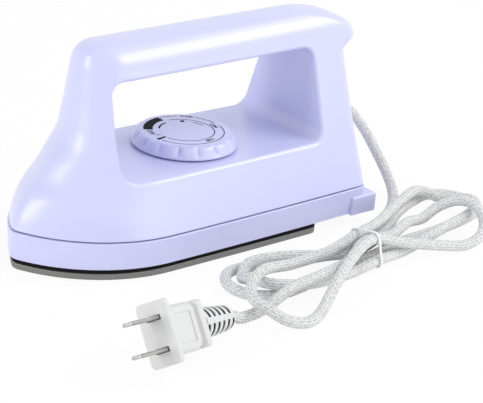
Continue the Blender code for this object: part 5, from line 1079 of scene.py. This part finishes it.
def printed_word(text, radius, angle, size):
    """A word laid along a circle, its top towards the dial's axis."""
    letters = bpy.data.curves.new("word", "FONT")
    letters.body = text
    letters.size = size
    letters.align_x = letters.align_y = "CENTER"
    letters.extrude = (INK_HIGH - INK_LOW) / 2
    letters.offset = LETTER_GROWTH
    flat = linked("word", letters)
    graph = bpy.context.evaluated_depsgraph_get()
    mesh = bpy.data.meshes.new_from_object(flat.evaluated_get(graph))
    bpy.data.objects.remove(flat, do_unlink=True)
    turn = math.radians(angle)
    spot = (DIAL_X + radius * math.cos(turn), radius * math.sin(turn), FACE_Z)
    mesh.transform(Matrix.Translation(spot) @ Matrix.Rotation(turn + math.pi / 2, 4, "Z"))
    return linked("word", mesh)


def joined(name, pieces):
    """One mesh from many, with doubled points merged and faces turned outwards."""
    whole = bmesh.new()
    for piece in pieces:
        whole.from_mesh(piece.data)
        bpy.data.objects.remove(piece, do_unlink=True)
    bmesh.ops.remove_doubles(whole, verts=whole.verts, dist=1e-7)
    bmesh.ops.recalc_face_normals(whole, faces=whole.faces)
    mesh = bpy.data.meshes.new(name)
    whole.to_mesh(mesh)
    whole.free()
    mesh.shade_flat()
    return linked(name, mesh)


# inner and outer radius, start and end in degrees: the two rings, the thick block, its inner
# line, a short inner line, the bar at off, a tick beside it and the dot
LINE = 0.00042
ARCS = (
    (0.0130, 0.0130 + LINE, -163.0, 84.0), (0.0172, 0.0172 + LINE, -163.0, -10.0),
    (0.0172, 0.0172 + LINE, 2.0, 36.0), (0.0172, 0.0172 + LINE, 62.0, 90.0),
    (0.0140, 0.0182, 93.0, 150.0), (0.0108, 0.0116, 100.0, 142.0),
    (0.0107, 0.0112, 2.0, 32.0), (0.0128, 0.0181, -171.3, -165.9),
    (0.0127, 0.0150, 176.0, 178.0), (0.0100, 0.0120, 52.5, 61.5),
)
WORDS = (
    ("OFF", 0.0158, 163.0, 0.0033), ("MIN", 0.0152, -81.0, 0.0027),
    ("MED", 0.0152, -7.0, 0.0027), ("MAX", 0.0174, 49.0, 0.0027),
)
marks = [printed_arc(*arc) for arc in ARCS] + [printed_word(*word) for word in WORDS]
dress(joined("dial_marks", marks), ink, (), "dial")

# %% [markdown]
# The strain relief keeps the cord from kinking where it leaves the rear post. It runs straight
# through the wall and then droops along an arc, tapering, with grooves that let it flex. It
# could be a cone that a Curve modifier bends, but rings placed by formula stand square across
# the arc at once, and a cosine lowers their radius at each groove.

# %% Strain relief
NECK, TIP_RADIUS, COLLAR_RADIUS = 0.0046, 0.0034, 0.0062
WALL_X, COLLAR_X = 0.0822275, 0.0761275
BOOT_LENGTH, DROOP = 0.0155, math.radians(42.0)
GROOVE, GROOVE_WAVES = 0.0007, 13.0
TIP_FROM, TIP_DROP = 0.97, 0.0004
# distance behind the collar's face and radius: the collar and the plain neck in the wall
STRAIGHT = (
    (0.0, COLLAR_RADIUS - 0.0002), (0.0002, COLLAR_RADIUS), (0.0022, COLLAR_RADIUS),
    (0.0024, COLLAR_RADIUS - 0.0002), (0.0024, NECK), (WALL_X - COLLAR_X, NECK),
)

straight_x, straight_r = np.array(STRAIGHT).T
bend_t = np.linspace(0.0, 1.0, 105)[1:]
arc_radius = BOOT_LENGTH / DROOP
turn = np.concatenate([np.zeros(len(STRAIGHT)), DROOP * bend_t])
centre_x = np.concatenate([
    straight_x + COLLAR_X, WALL_X + arc_radius * np.sin(DROOP * bend_t),
])
centre_z = EXIT_Z - arc_radius * (1 - np.cos(turn))
dip = 0.5 + 0.5 * np.cos(math.pi * (GROOVE_WAVES * bend_t - 1.0))
dip[bend_t > 1.0 - 1.0 / GROOVE_WAVES] = 0.0
tip_round = TIP_DROP * np.clip((bend_t - TIP_FROM) / (1.0 - TIP_FROM), 0.0, 1.0) ** 2
bend_r = NECK + (TIP_RADIUS - NECK) * bend_t - GROOVE * dip - tip_round
boot_r = np.concatenate([straight_r, bend_r])[:, None]
boot_v = np.linspace(0.0, 2 * math.pi, 40, endpoint=False)
boot_grid = np.stack([
    centre_x[:, None] + boot_r * np.sin(boot_v) * np.sin(turn)[:, None],
    boot_r * np.cos(boot_v),
    centre_z[:, None] + boot_r * np.sin(boot_v) * np.cos(turn)[:, None],
], axis=-1)
dress(surface("strain_relief", boot_grid), boot_white, ("cord_boot",))

# %% [markdown]
# The tie is a thin nylon band drawn tight round the waist of the hank. A tight band follows the
# outside of the bundle, where a plain ellipse would cut into some strands and stand off others:
# at each direction it touches the strand that lies farthest that way. So for each angle the
# farthest strand is picked, and the band lies one strand radius beyond its middle. Rows go
# round the bundle, columns round the band's own small section, whose corners are rounded by
# powers of its cosine and sine.

# %% Tie
TIE_HALF_WIDTH, TIE_THICKNESS, TIE_SLACK = 0.0007, 0.0007, 0.0001
TIE_ROWS, TIE_COLUMNS = 240, 20
BLUNT_ACROSS, BLUNT_OUTWARDS = 0.4, 0.6


def blunted(wave, power):
    """A wave from -1 to 1 with its size raised to a power and its sign kept."""
    return np.sign(wave) * np.abs(wave) ** power


tie_low, tie_high = (np.array(corner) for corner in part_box("cord_tie"))
tie_x, reach_x = (tie_low[0] + tie_high[0]) / 2, (tie_high[0] - tie_low[0]) / 2
strands = cord_line[np.abs(cord_line[:, 0] - tie_x) < reach_x]
strands = strands[strands[:, 1] > tie_low[1]][:, 1:]
tie_angle = np.linspace(0.0, 2 * math.pi, TIE_ROWS, endpoint=False)
outwards = np.column_stack([np.cos(tie_angle), np.sin(tie_angle)])
farthest = strands[np.argmax(strands @ outwards.T, axis=0)]
section_a = np.radians(np.arange(TIE_COLUMNS) * 360.0 / TIE_COLUMNS)
section_x = TIE_HALF_WIDTH * blunted(np.cos(section_a), BLUNT_ACROSS)
section_t = TIE_THICKNESS / 2 * (1 + blunted(np.sin(section_a), BLUNT_OUTWARDS))
tie_reach = LEAD_DIAMETER / 2 + TIE_SLACK + section_t
tie_yz = farthest[:, None] + outwards[:, None] * tie_reach[None, :, None]
tie_xs = np.broadcast_to(tie_x + section_x[:, None], (*tie_yz.shape[:2], 1))
tie = surface("hank_tie", np.concatenate([tie_xs, tie_yz], axis=-1), ring=True)
dress(tie, tie_white, ("cord_tie",))

# %% [markdown]
# The plug lies on the surface on one edge of its flange. It is simplest to shape it along its
# own X axis, from the cord's entry to the blade tips, and then to carry the whole mesh to its
# place with one matrix, so the objects themselves stay at the origin.

# %% Plug place and rings
PLUG_PLACE = (-0.0475, -0.0923, 0.0060)
PLUG_TURN = tuple(math.radians(angle) for angle in (-58.0, -11.2, 196.0))
plug_axes = Matrix.Translation(PLUG_PLACE) @ Euler(PLUG_TURN).to_matrix().to_4x4()


def rectangle_rings(station, width, height, corner, steps=8):
    """Rings across X: corner centres plus the corner radius times (cos v, sin v)."""
    shape = np.broadcast_arrays(station, width, height, corner)
    station, width, height, corner = (np.atleast_1d(v)[:, None] * 1.0 for v in shape)
    angle = np.concatenate([(k + np.linspace(0.0, 1.0, steps)) * math.pi / 2 for k in range(4)])
    sign_y, sign_z = np.repeat(np.array([(1, 1), (-1, 1), (-1, -1), (1, -1)]), steps, axis=0).T
    y = sign_y * (width / 2 - corner) + corner * np.cos(angle)
    z = sign_z * (height / 2 - corner) + corner * np.sin(angle)
    return np.stack([np.broadcast_to(station, y.shape), y, z], axis=-1)


def at_plug(piece):
    """Carry a piece from the plug's own axes to its place on the surface."""
    piece.data.transform(plug_axes)
    return piece


# %% [markdown]
# The flexible boot of the plug is a taper with two rows of slots that are staggered, so that it
# bends evenly. The slots are smooth dips in the radius: one wave along the axis chooses the
# slot, another round the axis keeps the four spines between the rows. On the real boot a slot
# is open down to the cord and lies in deep shadow, but these dips are shallow, so the share of
# its depth is kept as the map that its finish reads, and the bottom of each slot is darkened
# with painted shade.

# %% Plug boot
PLUG_BOOT_LENGTH, PLUG_BOOT_TIP, PLUG_BOOT_TAPER = 0.022, 0.0052, 0.0016
SLOT_ROWS, SLOT_START, SLOT_DEPTH, SLOT_EDGE, SLOT_FADE = 5.6, 0.30, 0.0019, 0.05, 0.35
SPINE_FROM, SPINE_EDGE, END_SHARE = 0.36, 0.05, 0.05
LIP_DROP, LIP_SHARE = 0.0005, 0.02
# the colour of the painted shade at the bottom of the slots, and the depth shares over which it
# comes in
SLOT_SHADE, SHADE_FROM, SHADE_FULL = (0.015, 0.015, 0.015), 0.03, 0.3


def eased(value):
    """Smooth step t^2 (3 - 2t) of a value held between 0 and 1."""
    value = np.clip(value, 0.0, 1.0)
    return value * value * (3 - 2 * value)


along, around = np.meshgrid(
    np.linspace(0.0, 1.0, 150), np.linspace(0.0, 2 * math.pi, 96, endpoint=False), indexing="ij",
)
quarter = np.floor(around / (math.pi / 2))
within = around / (math.pi / 2) - quarter
phase = along * SLOT_ROWS - SLOT_START + 0.5 * np.mod(quarter, 2)
slot = eased((np.cos(2 * math.pi * phase) - SLOT_EDGE) / SLOT_FADE)
slot = slot * eased((SPINE_FROM - np.abs(within - 0.5)) / SPINE_EDGE)
slot = slot * np.clip(np.minimum(along, 1.0 - along) / END_SHARE, 0.0, 1.0)
lip = LIP_DROP * (1 - np.clip(along / LIP_SHARE, 0.0, 1.0)) ** 2
boot_radius = PLUG_BOOT_TIP + PLUG_BOOT_TAPER * along - lip - SLOT_DEPTH * slot
plug_boot_grid = np.stack([
    PLUG_BOOT_LENGTH * along, boot_radius * np.cos(around), boot_radius * np.sin(around),
], axis=-1)
slot_map = np.stack([slot, along], axis=-1)
slot_map = np.concatenate([slot_map, slot_map[:, :1]], axis=1)

# painted shade: the colour turns dark towards the bottom of each slot, by the share of its depth
slot_shade_share = slotted.climb(slotted.own_map()[0], SHADE_FROM, SHADE_FULL, "SMOOTHSTEP")
slotted.feed("Base Color", slotted.blend(slot_shade_share, slotted.mottled, SLOT_SHADE))
plug_boot = at_plug(surface("plug_flex_boot", plug_boot_grid, run=slot_map, sharp=60.0))
dress(plug_boot, slotted, ("plug_boot",))

# %% [markdown]
# The plug's body is moulded in one go: a collar where the boot ends, a waist, a grip and a wide
# flange in front. Boxes joined together would leave hard seams. Every section is a rounded
# rectangle, so the body is a table of stations with a width, a height and a corner radius, and
# sunk panels on both faces give the grip. The blades sit in pockets cut to their size.

# %% Plug body
COLLAR_START, COLLAR_END = 0.0223, 0.0263
BODY_END, PLUG_FRONT = 0.0441, 0.0471
PLUG_PROFILE = np.array([
    (COLLAR_START, 0.0176, 0.0124, 0.0014), (COLLAR_START + 0.0002, 0.0186, 0.0134, 0.0018),
    (COLLAR_START + 0.0007, 0.0192, 0.0140, 0.0020), (COLLAR_END - 0.0007, 0.0192, 0.0140, 0.0020),
    (COLLAR_END - 0.0002, 0.0187, 0.0135, 0.0018), (COLLAR_END, 0.0176, 0.0124, 0.0016),
    (COLLAR_END + 0.0003, 0.0166, 0.0105, 0.0016), (COLLAR_END + 0.0012, 0.0175, 0.0110, 0.0026),
    (COLLAR_END + 0.0030, 0.0196, 0.0120, 0.0030), (BODY_END - 0.0004, 0.0196, 0.0120, 0.0030),
    (BODY_END, 0.0200, 0.0124, 0.0028), (BODY_END + 0.00002, 0.0244, 0.0134, 0.0016),
    (BODY_END + 0.0003, 0.0254, 0.0144, 0.0020), (BODY_END + 0.0007, 0.0256, 0.0146, 0.0021),
    (PLUG_FRONT - 0.0007, 0.0256, 0.0146, 0.0021), (PLUG_FRONT - 0.0002, 0.0252, 0.0142, 0.0019),
    (PLUG_FRONT, 0.0244, 0.0134, 0.0016),
])
PANEL_SIZE, PANEL_X, PANEL_Z = (0.0112, 0.0124, 0.0012), (COLLAR_END + BODY_END) / 2 + 0.001, 0.006
PANEL_EDGE = 0.00055
BLADE_Y, POCKET = 0.00635, (0.0066, 0.0021, 0.0069)
plug_steps = []
for sign in (-1, 1):
    sunk = rounded_box("plug_panel", PANEL_SIZE, (PANEL_X, 0.0, sign * PANEL_Z), PANEL_EDGE, 4)
    plug_steps.append((sunk, "DIFFERENCE"))
for sign in (-1, 1):
    pocket = rounded_box("blade_pocket", POCKET, (PLUG_FRONT, sign * BLADE_Y, 0.0), 0.0)
    plug_steps.append((pocket, "DIFFERENCE"))
plug_shell = surface("plug_shell", rectangle_rings(*PLUG_PROFILE.T))
plug_body = at_plug(worked(plug_shell, plug_steps))
dress(plug_body, plug_white, ("plug_body",))

# %% [markdown]
# Each blade is a thin brass strip, nickel plated, with a rounded tip and a hole near it. A box
# with a Bevel would round all its edges alike. Here the rings lie across the thickness, so the
# rounded rectangle is the shape of the blade seen from the side, and small insets at both faces
# break the edges.

# %% Plug blades
BLADE_START, BLADE_END, BLADE_HALF = PLUG_FRONT - 0.003, PLUG_FRONT + 0.017, 0.00075
BLADE_WIDTH, BLADE_CORNER, BLADE_EDGE = 0.0063, 0.0016, 0.0003
HOLE_X, HOLE_RADIUS, HOLE_REACH = PLUG_FRONT + 0.0118, 0.0016, 0.0015
ACROSS = (math.pi / 2, 0.0, 0.0)
blade_y = np.array([BLADE_HALF, BLADE_HALF - BLADE_EDGE, BLADE_EDGE - BLADE_HALF, -BLADE_HALF])
blade_inset = 2 * np.array([BLADE_EDGE, 0.0, 0.0, BLADE_EDGE])
blade_length = BLADE_END - BLADE_START - blade_inset
blade_x = (BLADE_START + BLADE_END) / 2
for name, sign in (("near", 1), ("far", -1)):
    rings = rectangle_rings(blade_y, blade_length, BLADE_WIDTH - blade_inset, BLADE_CORNER, 7)
    blade_grid = np.stack([
        rings[..., 1] + blade_x, rings[..., 0] + sign * BLADE_Y, rings[..., 2],
    ], axis=-1)
    hole_at = [(HOLE_X, sign * BLADE_Y, 0.0)]
    hole = rods("DIFFERENCE", HOLE_RADIUS, -HOLE_REACH, HOLE_REACH, 28, hole_at, ACROSS)
    blade = at_plug(worked(surface("blade_" + name, blade_grid), hole))
    dress(blade, blade_nickel, ("plug_blade_" + name,))

# %% [markdown]
# The cord gets the braid finish, and stands for the CAD lead, hank and tail.

dress(cord, braid, ("cord_lead", "cord_hank", "cord_tail"))

# %% [markdown]
# Inside the casing are the element, the thermostat, the wiring and their screws. They could be
# modelled again as finely as the rest, but the CAD pieces already have the right shapes and are
# out of sight, so they keep their meshes and only get finishes: steel, brass, ceramic, silicone
# and glass sleeve.

# %% Inner pieces
inner_finishes = {
    "plain_steel": screw_steel,
    "plain_brass": metal("terminal_brass", (0.74, 0.56, 0.26), 0.3, (700.0, 700.0, 700.0)),
    "white_ceramic": moulded("steatite", (0.84, 0.82, 0.76), 0.55, 1400.0, 0.00003, 0.04),
    "element_sheath": metal(
        "element_oxide", (0.25, 0.23, 0.22), 0.5, (400.0, 400.0, 400.0), 0.8,
    ),
    "brown_core": moulded("brown_silicone", (0.19, 0.07, 0.03), 0.5, 1600.0, 0.00001, 0.08),
    "blue_core": moulded("blue_silicone", (0.03, 0.10, 0.40), 0.5, 1600.0, 0.00001, 0.08),
    "glass_sleeve": moulded("glass_braid", (0.80, 0.77, 0.68), 0.9, 1900.0, 0.00008, 0.10),
    "white_plastic": plug_white,
    "lilac_plastic": lavender,
    "nickel_blade": blade_nickel,
    "grey_rubber": pad_rubber,
    "black_gasket": gasket_black,
    "grey_sole_coating": sole_grey,
    "white_braid": braid,
    "white_tie": tie_white,
}
dressed = 0
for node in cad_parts.values():
    for holder in node.material_slots:
        name = holder.material.name.split(".")[0] if holder.material else ""
        if name in inner_finishes:
            holder.material = inner_finishes[name].material
            dressed += 1
print("finishes on", dressed, "CAD nodes")
